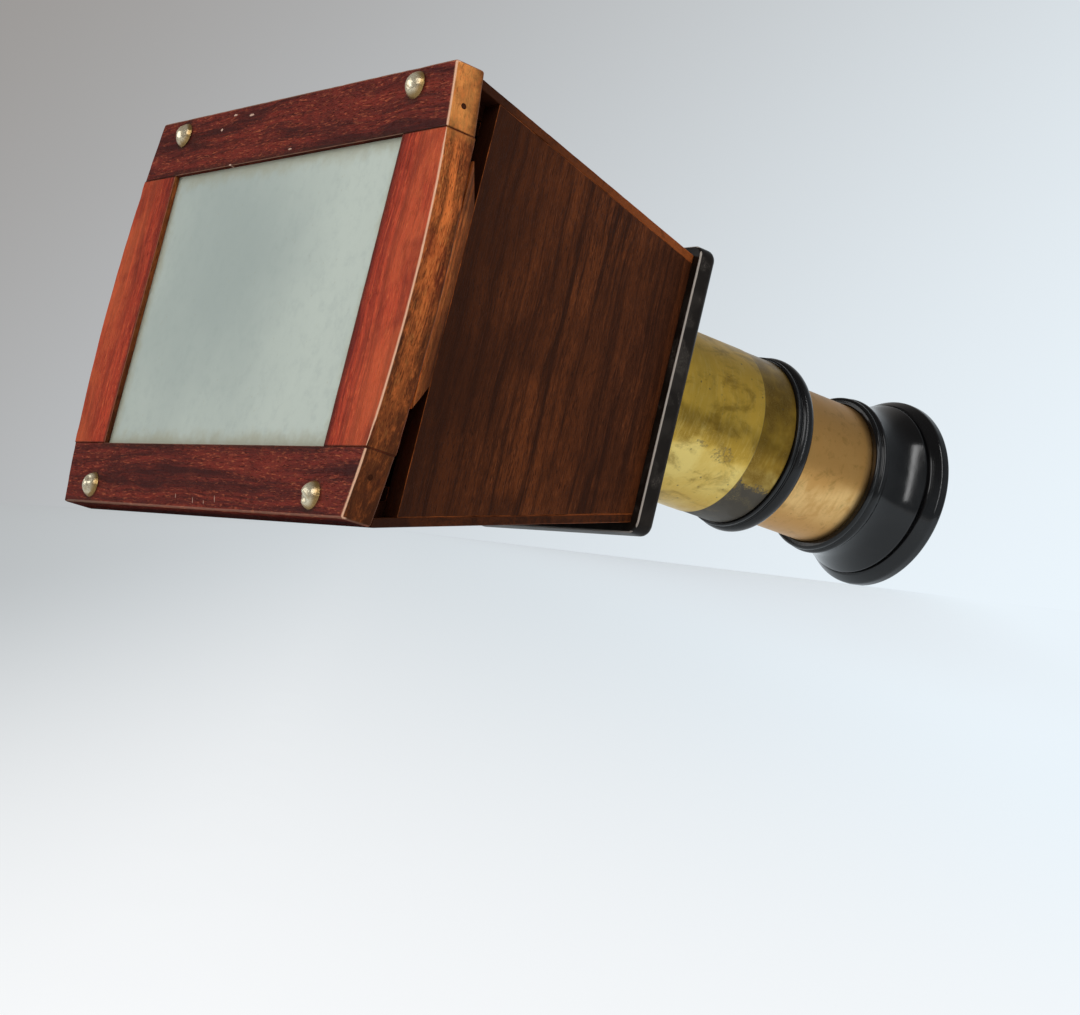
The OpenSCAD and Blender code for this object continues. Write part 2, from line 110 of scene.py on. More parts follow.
def reach(node):
    """Where a CAD node starts and ends along the optical axis, in mm."""
    along = [spot.y for spot in node_spots(node)]
    return min(along), max(along)


def upright(*nodes):
    """Half the height of CAD nodes together, and the height of their middle, in mm."""
    heights = [spot.z for node in nodes for spot in node_spots(node)]
    return (max(heights) - min(heights)) / 2, (max(heights) + min(heights)) / 2


FRAME_HALF, FRAME_MIDDLE = upright("frame_top_rail", "frame_bottom_rail")

# The window's half sizes at the frame's face and the nails' places, from the frame's centre, in mm.
FACE_DEPTH = 0.1
WINDOW_HALF_W = min(spot.x for spot in node_spots("frame_right_stile") if spot.y < FACE_DEPTH)
WINDOW_TOP = min(spot.z for spot in node_spots("frame_top_rail") if spot.y < FACE_DEPTH)
WINDOW_HALF_H = WINDOW_TOP - FRAME_MIDDLE
NAIL_ACROSS = 53.0
NAIL_ABOVE = 44.6


def from_screen(red, green, blue):
    """A colour written in screen values, as linear light."""

    def linear(value):
        value /= 255
        return value / 12.92 if value <= 0.04045 else ((value + 0.055) / 1.055) ** 2.4

    return linear(red), linear(green), linear(blue)


def vector_prop(name, description, default, subtype, **limits):
    """A property with three numbers."""
    return FloatVectorProperty(
        name=name, description=description, default=default, subtype=subtype, **limits
    )


def colour_prop(name, description, *screen):
    """A colour property whose default is written in screen values."""
    return vector_prop(name, description, from_screen(*screen), "COLOR", min=0.0, max=1.0)


def number_prop(name, description, default, unit="NONE"):
    """A property with one number."""
    return FloatProperty(name=name, description=description, default=default, unit=unit)


def length_prop(name, description, size_mm):
    """A length property whose default is written in mm."""
    return number_prop(name, description, size_mm * MM, "LENGTH")


class ViewerWoodSettings(bpy.types.PropertyGroup):
    """Colours and edges of the frame and the box."""

    rail_dark: colour_prop("Rail dark", "Dark grain of the frame's rails", 62, 18, 15)
    rail_middle: colour_prop("Rail", "Main colour of the frame's rails", 122, 40, 28)
    rail_fleck: colour_prop("Rail fleck", "Short pale flecks on the rails", 178, 92, 58)
    stile_dark: colour_prop("Stile dark", "Dark grain of the frame's stiles", 112, 30, 20)
    stile_middle: colour_prop("Stile", "Main colour of the frame's stiles", 188, 65, 38)
    stile_fleck: colour_prop("Stile fleck", "Pale streaks on the stiles", 208, 100, 56)
    # Also the painted shade towards the back edge of the frame's sides.
    side_dark_and_shade: colour_prop("Frame side dark", "Dark streaks on the frame's sides", 64, 33, 17)
    side_middle: colour_prop("Frame side", "Main colour of the frame's sides", 212, 114, 55)
    end_grain: colour_prop("End grain", "Bare end grain of the rails", 218, 148, 78)
    # Also laid as painted shade on the box, the panels and the stop block.
    box_dark_and_shade: colour_prop("Box dark", "Dark grain of the box", 48, 25, 15)
    box_middle: colour_prop("Box", "Main colour of the box", 100, 52, 26)
    box_fleck: colour_prop("Box fleck", "Pale streaks on the box", 118, 66, 38)
    # Also painted as a highlight along the frame's outer front arrises.
    worn: colour_prop("Worn edge", "Bare wood where edges are rubbed", 226, 178, 146)
    chip: colour_prop("Chip", "Fresh chips and scratches", 222, 186, 164)
    soft_arris: length_prop("Soft edge", "Rounding of the handled edges", 0.7)
    crisp_arris: length_prop("Crisp edge", "Rounding of the fitted edges", 0.2)
    dent: length_prop("Edge dents", "Unevenness of the handled edges", 0.16)


class ViewerMetalSettings(bpy.types.PropertyGroup):
    """Brass colours and sizes of the barrel, the tube and the nails."""

    barrel_clean: colour_prop("Barrel clean", "Rubbed brass of the barrel", 240, 212, 126)
    # Also laid by angle as painted reflection on the barrel's upper side and bottom.
    barrel_tarnish_and_reflection: colour_prop("Barrel dull", "Tarnished brass of the barrel", 216, 174, 70)
    # Also laid as a painted dark reflection band round the barrel.
    barrel_brown_and_reflection: colour_prop("Barrel brown", "Brown lacquer by the collar", 126, 95, 33)
    # Also laid as painted shade where the draw tube runs into the eyepiece.
    bare_patch_and_shade: colour_prop("Bare patch", "Dark grey patch by the collar", 84, 78, 68)
    tube_clean: colour_prop("Tube clean", "Bright brass of the draw tube", 236, 194, 128)
    # Also laid by angle as painted reflection on the draw tube's upper side and bottom.
    tube_dull_and_reflection: colour_prop("Tube dull", "Rubbed brown of the draw tube", 204, 154, 88)
    nail_clean: colour_prop("Nail clean", "Rubbed crowns of the nails", 250, 240, 210)
    nail_dull: colour_prop("Nail dull", "Tarnish at the nails' feet", 166, 134, 82)
    barrel_diameter: length_prop("Barrel", "Outside diameter of the barrel", 44.4)
    barrel_wall: length_prop("Barrel wall", "Thickness of the barrel's tube", 1.0)
    seam_place: length_prop("Seam", "Distance of the seam from the frame's front", 137.3)
    tube_diameter: length_prop("Draw tube", "Outside diameter of the draw tube", 38.1)
    tube_wall: length_prop("Draw tube wall", "Thickness of the draw tube", 0.8)
    nail_height: length_prop("Nail height", "How far a nail's head stands out", 2.3)
    nail_width: length_prop("Nail width", "Diameter of a nail's head", 6.2)
    nail_dent: length_prop("Nail dents", "Depth of the dents in the nails' heads", 0.9)
    nail_seed: IntProperty(name="Nail seed", description="Seed of the nails' lean", default=4)


class ViewerBlackSettings(bpy.types.PropertyGroup):
    """Colours and sizes of the end plate, the collar and the eyepiece."""

    plate: colour_prop("Plate", "Black stained wood", 24, 19, 15)
    plate_worn: colour_prop("Plate edge", "Rubbed edges of the plate", 172, 162, 152)
    ebonite: colour_prop("Ebonite", "Black turned pieces", 13, 13, 14)
    ebonite_worn: colour_prop("Ebonite worn", "Dull bloom on the turned pieces", 52, 50, 48)
    turned_arris: length_prop("Turned edge", "Rounding of the turned edges", 0.4)


class ViewerGlassSettings(bpy.types.PropertyGroup):
    """Colours of the front pane and the lens."""

    pane: colour_prop("Pane", "Ground glass", 194, 204, 194)
    pane_cloud: colour_prop("Pane cloud", "Greyer clouds on the glass", 160, 172, 167)
    pane_edge: colour_prop("Pane edge", "Yellowed dirt along the pane's edges", 160, 156, 128)
    lens: colour_prop("Lens", "Clear glass of the lens", 236, 242, 240)


class ViewerStageSettings(bpy.types.PropertyGroup):
    """Camera, lamps and floor."""

    camera_place: vector_prop(
        "Camera place", "Where the camera stands", (0.481149, -0.349922, -0.008336), "TRANSLATION"
    )
    camera_turn: vector_prop(
        "Camera turn", "How the camera is turned", (1.6034443, -0.0955677, 0.9525774), "EULER"
    )
    lens: number_prop("Lens", "Focal length of the camera in mm", 80.0)
    floor: colour_prop("Floor", "Pale paper floor", 232, 236, 241)
    backdrop_dark: colour_prop("Backdrop shade", "Backdrop at the upper left", 152, 148, 145)
    backdrop_mid: colour_prop("Backdrop middle", "Floor at the left", 180, 183, 184)
    floor_pale: colour_prop("Floor pale", "Floor at the right", 236, 246, 253)
    backdrop_pale: colour_prop("Backdrop", "Backdrop at the lower right", 236, 246, 253)
    floor_glow: number_prop("Floor glow", "Share of the floor's own paleness", 0.95)
    dim: number_prop("Dim room", "Brightness of the room's mirrored far side", 0.36)
    key_power: number_prop("Key", "Key lamp in watts", 5.0, "POWER")
    fill_power: number_prop("Fill", "Fill lamp in watts", 2.4, "POWER")
    strip_power: number_prop("Strip", "Strip lamp in watts", 2.4, "POWER")
    ambient: number_prop("Ambient", "Strength of the light all around", 0.42)


class Value:
    """An output of a node, for sums with numbers and other outputs."""

    def __init__(self, net, socket):
        self.net = net
        self.socket = socket

    def __add__(self, other):
        return self.net.math("ADD", self, other)

    def __sub__(self, other):
        return self.net.math("SUBTRACT", self, other)

    def __rsub__(self, other):
        return self.net.math("SUBTRACT", other, self)

    def __mul__(self, other):
        return self.net.math("MULTIPLY", self, other)

    def __rtruediv__(self, other):
        return self.net.math("DIVIDE", other, self)

    def __abs__(self):
        return self.net.math("ABSOLUTE", self)


class Net:
    """Short calls that add and link the nodes of one tree."""

    def __init__(self, tree):
        self.tree = tree

    def put(self, kind, values=None, **settings):
        """A new node with its settings and its inputs filled in."""
        node = self.tree.nodes.new(kind)
        for name, value in settings.items():
            setattr(node, name, value)
        for key, value in (values or {}).items():
            self.feed(node.inputs[key], value)
        return node

    def out(self, kind, values=None, output=0, **settings):
        """One output of a new node."""
        return Value(self, self.put(kind, values, **settings).outputs[output])

    def outs(self, node):
        """A node's outputs by their names."""
        return {socket.name: Value(self, socket) for socket in node.outputs}

    def feed(self, socket, value):
        """Links an output to a socket, or sets the socket's own value."""
        if isinstance(value, Value):
            self.tree.links.new(value.socket, socket)
        elif socket.type == "RGBA" and len(value) == 3:
            socket.default_value = (*value, 1.0)
        else:
            socket.default_value = value

    def give(self, **values):
        """Feeds the outputs of the tree itself."""
        self.put("NodeGroupOutput", values)
        return self.tree

    def math(self, operation, first, second=0.0):
        """One sum on two values."""
        return self.out("ShaderNodeMath", {0: first, 1: second}, operation=operation)

    def most(self, first, second):
        """The larger of two values."""
        return self.math("MAXIMUM", first, second)

    def vector(self, operation, first, second):
        """One sum on two vectors."""
        return self.out("ShaderNodeVectorMath", {0: first, 1: second}, operation=operation)

    def dot(self, first, second):
        """How far one vector reaches along another."""
        values = {0: first, 1: second}
        return self.out("ShaderNodeVectorMath", values, "Value", operation="DOT_PRODUCT")

    def length(self, vector):
        """A vector's length."""
        return self.out("ShaderNodeVectorMath", {0: vector}, "Value", operation="LENGTH")

    def join(self, x, y=0.0, z=0.0):
        """A vector from its three parts."""
        return self.out("ShaderNodeCombineXYZ", {0: x, 1: y, 2: z})

    def split(self, vector):
        """The three parts of a vector."""
        return self.outs(self.put("ShaderNodeSeparateXYZ", {0: vector})).values()

    def noise(self, vector, scale, detail=3.0, roughness=0.55, distortion=0.0, stretch=None):
        """Cloudy values from 0 to 1, drawn out where a part of the stretch is small."""
        values = {
            "Vector": self.vector("MULTIPLY", vector, stretch) if stretch else vector,
            "Scale": scale,
            "Detail": detail,
            "Roughness": roughness,
            "Distortion": distortion,
        }
        return self.out("ShaderNodeTexNoise", values)

    def step(self, value, low, high, start=0.0, end=1.0):
        """A soft step between two values."""
        values = {"Value": value, "From Min": low, "From Max": high, "To Min": start, "To Max": end}
        return self.out("ShaderNodeMapRange", values, interpolation_type="SMOOTHSTEP")

    def mix(self, factor, first, second):
        """A mixture of two colours."""
        values = {0: factor, 6: first, 7: second}
        return self.out("ShaderNodeMix", values, 2, data_type="RGBA", clamp_factor=True)

    def use(self, group, **values):
        """The outputs of a shared shader group, which is built when it is first needed."""
        return self.outs(self.put("ShaderNodeGroup", values, node_tree=group()))


SOCKETS = {
    "v": "NodeSocketVector",
    "c": "NodeSocketColor",
    "f": "NodeSocketFloat",
    "i": "NodeSocketInt",
    "m": "NodeSocketMaterial",
    "g": "NodeSocketGeometry",
}


def new_tree(name, takes, gives, kind="ShaderNodeTree"):
    """An empty node tree with its sockets, as its net and its inputs."""
    tree = bpy.data.node_groups.new(name, kind)
    for in_out, titles in (("INPUT", takes), ("OUTPUT", gives)):
        for title, letter in titles.items():
            tree.interface.new_socket(name=title, in_out=in_out, socket_type=SOCKETS[letter])
    net = Net(tree)
    return net, net.outs(net.put("NodeGroupInput"))


@cache
def wood_grain_group():
    """Figure, fibres, pores and pale flecks of straight wood, with the grain along X, in mm."""
    net, takes = new_tree(
        "wood_grain",
        {"Vector": "v", "Dark": "c", "Middle": "c", "Fleck": "c", "Pores": "f", "Flecks": "f"},
        {"Color": "c", "Height": "f", "Roughness": "f"},
    )
    spot = takes["Vector"]
    wander = net.out("ShaderNodeTexNoise", {"Vector": spot, "Scale": 0.03, "Detail": 2.0}, 1)
    centred = net.vector("SUBTRACT", wander, (0.5, 0.5, 0.5))
    bent = net.vector("ADD", spot, net.vector("MULTIPLY", centred, (0.0, 5.0, 5.0)))
    figure = net.noise(bent, 1.0, 3.0, 0.6, 0.8, stretch=(0.012, 0.26, 0.26))
    fibre = net.noise(bent, 1.0, 5.0, 0.68, stretch=(0.04, 1.9, 1.9))
    pore = net.noise(bent, 1.0, 2.0, 0.5, stretch=(0.45, 4.6, 4.6))
    fleck = net.noise(bent, 1.0, 3.0, 0.6, 0.3, stretch=(0.42, 2.9, 2.9))
    pores = net.step(pore, 0.54, 0.66)
    flecks = net.step(fleck, 0.55, 0.66) * net.step(figure, 0.30, 0.56)
    blend = figure * 0.62 + fibre * 0.38
    colour = net.mix(net.step(blend, 0.36, 0.62), takes["Dark"], takes["Middle"])
    colour = net.mix(flecks * takes["Flecks"], colour, takes["Fleck"])
    colour = net.mix(pores * takes["Pores"], colour, takes["Dark"])
    return net.give(
        Color=colour,
        Height=fibre * 0.6 - pores * 0.5,
        Roughness=fibre * 0.22 + pores * 0.16 + 0.24,
    )


@cache
def rubbed_edge_group():
    """Where a worn edge shows, broken up by noise. The position is in mm."""
    takes = {"Vector": "v", "Edge": "f", "Amount": "f"}
    net, takes = new_tree("rubbed_edge", takes, {"Mask": "f"})
    broad = net.noise(takes["Vector"], 0.09, 3.0, 0.6)
    fine = net.noise(takes["Vector"], 0.9, 4.0, 0.7)
    ragged = broad * 0.65 + fine * 0.35
    return net.give(Mask=net.step(takes["Edge"] * (ragged + takes["Amount"]), 0.42, 0.78))


@cache
def blotch_group():
    """Cloudy patches with ragged borders, and fine specks. The position is in mm."""
    takes = {"Vector": "v", "Size": "f", "Share": "f"}
    net, takes = new_tree("blotch", takes, {"Mask": "f", "Specks": "f"})
    spot = takes["Vector"]
    cloud = net.noise(spot, 1.0 / takes["Size"], 7.0, 0.62, 0.5)
    edge = 1.0 - takes["Share"]
    cell = net.out("ShaderNodeTexVoronoi", {"Vector": spot, "Scale": 0.55}, feature="F1")
    some = net.noise(spot, 0.23, 1.0, 0.5)
    return net.give(
        Mask=net.step(cloud, edge - 0.09, edge + 0.09),
        Specks=net.step(cell, 0.22, 0.08) * net.step(some, 0.56, 0.64),
    )


@cache
def mark_group():
    """One ragged mark at a place, with its own length and width. The position is in mm."""
    net, takes = new_tree("mark", {"Vector": "v", "Centre": "v", "Size": "v"}, {"Mask": "f"})
    offset = net.vector("SUBTRACT", takes["Vector"], takes["Centre"])
    far = net.length(net.vector("DIVIDE", offset, takes["Size"]))
    ragged = (net.noise(takes["Vector"], 1.7, 4.0, 0.7) - 0.5) * 1.5
    return net.give(Mask=net.step(far + ragged, 1.0, 0.75))


@cache
def scratch_group():
    """Fine hairline scratches in three directions. The position is in mm."""
    net, takes = new_tree("scratches", {"Vector": "v", "Density": "f"}, {"Mask": "f"})
    total = None
    for turn, stretch in (
        (0.35, (0.05, 3.1, 3.1)),
        (-0.9, (3.3, 0.06, 3.3)),
        (1.3, (3.0, 3.0, 0.05)),
    ):
        values = {"Vector": takes["Vector"], "Rotation": (turn, turn * 0.6, turn * 0.8)}
        lines = net.noise(net.out("ShaderNodeMapping", values), 1.0, 1.0, 0.4, stretch=stretch)
        hair = net.step(abs(lines - 0.5), 0.012, 0.0)
        total = hair if total is None else net.most(total, hair)
    place = net.noise(takes["Vector"], 0.16, 2.0, 0.5)
    limit = 1.0 - takes["Density"]
    return net.give(Mask=total * net.step(place, limit, limit + 0.08))


# Directions for the wood's grain: across the viewer, and up it.
ALONG_X = Matrix((ACROSS, AXIS, UP)).transposed()
ALONG_Z = Matrix((UP, AXIS, -ACROSS)).transposed()


class Finish(Net):
    """A new material with its shader, its position in mm and the colour laid on so far."""

    def __init__(self, name, colour=None):
        self.material = bpy.data.materials.new(name)
        self.material.use_nodes = True
        super().__init__(self.material.node_tree)
        self.shader = self.tree.nodes["Principled BSDF"]
        self.place = self.outs(self.put("ShaderNodeTexCoord"))
        self.colour = colour

    def turned_spot(self, turn):
        """Position from the optical axis at the frame's front, in mm, along given directions."""
        values = {
            "Vector": self.place["Object"],
            "Location": ORIGIN,
            "Rotation": turn.to_euler(),
            "Scale": (MM, MM, MM),
        }
        return self.out("ShaderNodeMapping", values, vector_type="TEXTURE")

    @cached_property
    def spot(self):
        """Position across, along and up, in mm."""
        return self.turned_spot(ALONG_X)

    def facing(self, direction):
        """How far a surface faces along a direction, on either side."""
        return abs(self.dot(self.place["Normal"], direction))

    def clouds(self, *noise_values, **more):
        """Noise at the finish's own position."""
        return self.noise(self.spot, *noise_values, **more)

    def ragged(self, size, *noise_values):
        """Noise about zero, with a size."""
        return (self.clouds(*noise_values) - 0.5) * size

    def grain(self, turn, colours, pores, flecks):
        """Wood grain along the given directions, in its dark, main and pale colours."""
        values = dict(zip(("Dark", "Middle", "Fleck"), colours))
        spot = self.turned_spot(turn)
        return self.use(wood_grain_group, Vector=spot, Pores=pores, Flecks=flecks, **values)

    def blotch(self, size, share):
        """Cloudy patches and specks, with the patches' size in mm."""
        return self.use(blotch_group, Vector=self.spot, Size=size, Share=share)

    def rubbed(self, amount):
        """Where the edges that the mesh marks as rounded are rubbed."""
        edge = self.out("ShaderNodeAttribute", output="Fac", attribute_name="wear")
        return self.use(rubbed_edge_group, Vector=self.spot, Edge=edge, Amount=amount)["Mask"]

    def hairs(self, density):
        """Fine scratches."""
        return self.use(scratch_group, Vector=self.spot, Density=density)["Mask"]

    def marks(self, spot, places):
        """One mask for several marks, each a centre and a size in mm."""
        total = None
        for centre, size in places:
            mask = self.use(mark_group, Vector=spot, Centre=centre, Size=size)["Mask"]
            total = mask if total is None else self.most(total, mask)
        return total

    def lay(self, mask, colour):
        """Lays a colour on where a mask shows."""
        self.colour = self.mix(mask, self.colour, colour)

    def fade(self, value, low, high, share, colour):
        """Lays a colour on by a soft step between two values, up to a share."""
        self.lay(self.step(value, low, high, 0.0, share), colour)

    def show(self, roughness, height=None, depth=0.1, metallic=None, **plain):
        """Feeds the shader. Plain values go on the shader's own sockets, and depth is in mm."""
        self.feed(self.shader.inputs["Base Color"], self.colour)
        self.feed(self.shader.inputs["Roughness"], roughness)
        if metallic is not None:
            self.feed(self.shader.inputs["Metallic"], metallic)
        if height is not None:
            values = {"Height": height, "Strength": 0.6, "Distance": depth * MM}
            self.feed(self.shader.inputs["Normal"], self.out("ShaderNodeBump", values))
        for name, value in plain.items():
            self.shader.inputs[name.replace("_", " ")].default_value = value
        return self.material


MARK_DEPTH = 3.0
SCRATCH_WIDTH = 0.17
SCRATCH_LEAN = 0.5


def front_marks(rows):
    """Marks on the frame's front, from rows of a place across and up and two half sizes, in mm."""
    return [
        ((across, 0.0, up + FRAME_MIDDLE), (half_width, MARK_DEPTH, half_height))
        for across, up, half_width, half_height in rows
    ]


def rail_chips(finish):
    """A mask of the pale chips on the top rail."""
    rows = (
        (-28.1, 47.1, 0.9, 0.3),
        (-19.7, 46.2, 1.2, 0.32),
        (-33.4, 43.9, 0.6, 0.4),
        (3.8, 35.4, 0.8, 0.25),
        (-24.2, 34.2, 0.7, 0.25),
    )
    return finish.marks(finish.spot, front_marks(rows))


def rail_scratches(finish):
    """A mask of the short slanted scratches by the bottom rail's lower edge."""
    across, along, up = finish.split(finish.spot)
    above_edge = up - (FRAME_MIDDLE - 46.0)
    slanted = finish.join(across + above_edge * SCRATCH_LEAN, along, up)
    rows = (
        (-7.8, -46.2, SCRATCH_WIDTH, 0.6),
        (0.6, -47.0, SCRATCH_WIDTH, 0.75),
        (5.8, -47.3, SCRATCH_WIDTH, 0.5),
        (11.0, -46.5, SCRATCH_WIDTH, 0.9),
    )
    return finish.marks(slanted, front_marks(rows)) * 0.7


SIDE_STREAKS = (1.0, 1.0, 0.3)
BARE_INNER_EDGE = 0.22


def side_colours(wood):
    """Dark, main and pale colours of the frame's bare sides."""
    return wood.side_dark_and_shade, wood.side_middle, wood.end_grain


def lay_bare_side(finish, wood, dark, along, height, to_side):
    """Lays the frame's bare, stained sides over its polished faces, darker towards the bottom, with
    painted shade towards their back edge.
    """
    side = finish.grain(ALONG_Z, side_colours(wood), 0.8, 0.6)["Color"]
    side = finish.mix(finish.step(height, 30.0, -46.0) * 0.9, side, wood.side_dark_and_shade)
    side = finish.mix(finish.step(height, 30.0, 36.0) * 0.6, side, wood.end_grain)
    # Painted shade: the sides darken towards their back edge, where they meet the box.
    back_shade_reach = along + finish.clouds(0.3, 4.0, 0.65) * 5.0
    side = finish.mix(finish.step(back_shade_reach, 6.5, 10.5, 0.0, 0.6), side, wood.side_dark_and_shade)
    finish.lay(to_side, side)
    finish.lay(finish.blotch(13.0, 0.4)["Mask"] * 0.4, dark)
    finish.lay(finish.blotch(6.0, 0.42)["Mask"] * to_side * 0.35, wood.side_dark_and_shade)
    bark = finish.step(finish.clouds(1.0, 5.0, 0.75, stretch=SIDE_STREAKS), 0.46, 0.72, 0.0, 0.55)
    bark = bark * finish.step(height, -25.0, -38.0, 1.0, 0.5)
    finish.lay(bark * to_side, wood.side_middle)
    # Painted shade again over the pale streaks, towards the back edge.
    finish.lay(finish.step(back_shade_reach, 7.0, 10.5, 0.0, 0.8) * to_side, wood.side_dark_and_shade)
    pit = finish.clouds(0.7, 6.0, 0.75, 0.4, stretch=SIDE_STREAKS)
    finish.lay(finish.step(pit, 0.47, 0.3, 0.0, 0.7) * to_side, wood.box_dark_and_shade)


def frame_material(name, wood, turn, colours, outer_share, has_chips):
    """Polished frame wood with bare sides, dirt by glass and nails, rubbed edges with a painted
    highlight along the outer front arrises, and chips.
    """
    dark, _, fleck = colours
    finish = Finish(name)
    across, along, up = finish.split(finish.spot)
    beside = abs(across)
    height = up - FRAME_MIDDLE
    above = abs(height)
    grain = finish.grain(turn, colours, 0.75, 0.75)
    finish.colour = grain["Color"]
    handled = finish.step(beside, WINDOW_HALF_W + 2.0, WINDOW_HALF_W + 15.0) * outer_share
    finish.lay(handled * (finish.blotch(18.0, 0.5)["Mask"] * 0.7 + 0.3), fleck)
    sideways = finish.facing(ACROSS)
    to_side = finish.step(sideways, 0.6, 0.85)
    lay_bare_side(finish, wood, dark, along, height, to_side)

    from_glass = finish.most(beside - WINDOW_HALF_W, above - WINDOW_HALF_H)
    from_nail = finish.length(finish.join(beside - NAIL_ACROSS, 0.0, above - NAIL_ABOVE))
    ragged = finish.ragged(1.6, 0.7, 3.0)
    by_glass = finish.step(from_glass + ragged, 1.7, 0.2)
    by_nail = finish.step(from_nail + ragged, 4.6, 3.0)
    finish.lay(finish.most(by_glass, by_nail) * 0.6, wood.box_dark_and_shade)

    # Pale line along the outer front arrises: partly rubbed wear, partly a painted highlight on the
    # polished arris. The inner edges carry wear only.
    outer = finish.step(beside, 61.0, 65.0) * finish.step(along, 1.6, 0.9)
    thin = finish.step(sideways, 0.4, 0.6) * finish.step(sideways, 0.93, 0.82)
    inner = finish.step(to_side, 0.0, 1.0, 1.0, 0.15) * BARE_INNER_EDGE
    rub_and_highlight = finish.rubbed(0.4) * finish.most(inner, outer * thin * 0.95)
    seam = finish.step(abs(above - WINDOW_HALF_H), 0.4, 0.15)
    seam = seam * finish.step(beside, WINDOW_HALF_W - 0.5, WINDOW_HALF_W + 0.5)
    finish.lay(seam * 0.65, wood.box_dark_and_shade)
    finish.lay(rub_and_highlight * (1.0 - seam), wood.worn)
    finish.lay(finish.hairs(0.42) * 0.3, fleck)

    rough = grain["Roughness"] + to_side * 0.25
    bumps = grain["Height"]
    if has_chips:
        pale = finish.most(rail_chips(finish), rail_scratches(finish))
        finish.lay(pale * 0.8, wood.chip)
        rough = rough + pale * 0.3
        bumps = bumps - pale * 1.2
    dusty = finish.step(finish.facing(UP), 0.6, 0.85)
    return finish.show(finish.most(rough, dusty), bumps, 0.12, Specular_IOR_Level=0.06)


def box_colours(wood):
    """Dark, main and pale colours of the box."""
    return wood.box_dark_and_shade, wood.box_middle, wood.box_fleck


def box_material(name, wood, turn, edge_share, colours=None, shade=(48.0, 16.0, 0.7)):
    """Dark streaked wood of the box, rubbed brown along its edges, with painted shade by the slot
    that deepens between two distances along the axis.
    """
    finish = Finish(name)
    grain = finish.grain(turn, colours or box_colours(wood), 0.9, 0.7)
    finish.colour = grain["Color"]
    finish.lay(finish.blotch(30.0, 0.5)["Mask"] * 0.5, wood.box_dark_and_shade)
    pale_end, dark_end, depth = shade
    _, along, _ = finish.split(finish.spot)
    # Painted shade: darker from the pale end to the dark end, up to the given depth.
    finish.fade(along, pale_end, dark_end, depth, wood.box_dark_and_shade)
    finish.lay(finish.rubbed(edge_share) * 0.75, wood.side_middle)
    finish.lay(finish.hairs(0.4) * 0.3, wood.box_fleck)
    return finish.show(grain["Roughness"], grain["Height"], 0.14, Specular_IOR_Level=0.02)


def panel_material(name, wood, edge_share):
    """Wood of the top and bottom panels, darker on their side faces, whose long edges are rubbed
    bare, with painted shade towards the frame.
    """
    finish = Finish(name)
    grain = finish.grain(ALONG_X, box_colours(wood), 0.9, 0.5)
    finish.colour = grain["Color"]
    _, along, _ = finish.split(finish.spot)
    to_side = finish.step(finish.facing(ACROSS), 0.6, 0.85)
    far = finish.step(along, 30.0, 90.0, 0.05, 0.3)
    finish.lay(to_side * 0.5, wood.box_dark_and_shade)
    finish.lay(to_side * finish.blotch(7.0, edge_share)["Mask"] * far, wood.side_middle)
    finish.lay(finish.rubbed(edge_share) * far, wood.side_middle)
    # Painted shade: the panels darken towards the frame.
    finish.fade(along, 26.0, 12.0, 0.85, wood.box_dark_and_shade)
    return finish.show(grain["Roughness"], grain["Height"], 0.14, Specular_IOR_Level=0.02)


def black_material(name, base, worn, share, rough, gloss):
    """Black wood or ebonite with rubbed edges, bloom and fine scratches."""
    finish = Finish(name, base)
    bloom = finish.blotch(9.0, 0.45)["Mask"]
    finish.lay(bloom * 0.02, worn)
    finish.lay(finish.rubbed(share) * 0.85, worn)
    finish.lay(finish.hairs(0.46) * 0.3, worn)
    dust = finish.clouds(2.2, 4.0, 0.6)
    rough = bloom * 0.05 + rough + dust * 0.06
    return finish.show(rough, dust, 0.015, Specular_IOR_Level=gloss)


def ebonite(name, black, **looks):
    """Black turned ebonite."""
    return black_material(name, black.ebonite, black.ebonite_worn, **looks)


def around(finish):
    """The angle about the optical axis in degrees, 90 on top, and the way along the axis in mm."""
    across, along, up = finish.split(finish.spot)
    return finish.math("ARCTAN2", up, abs(across)) * math.degrees(1.0), along


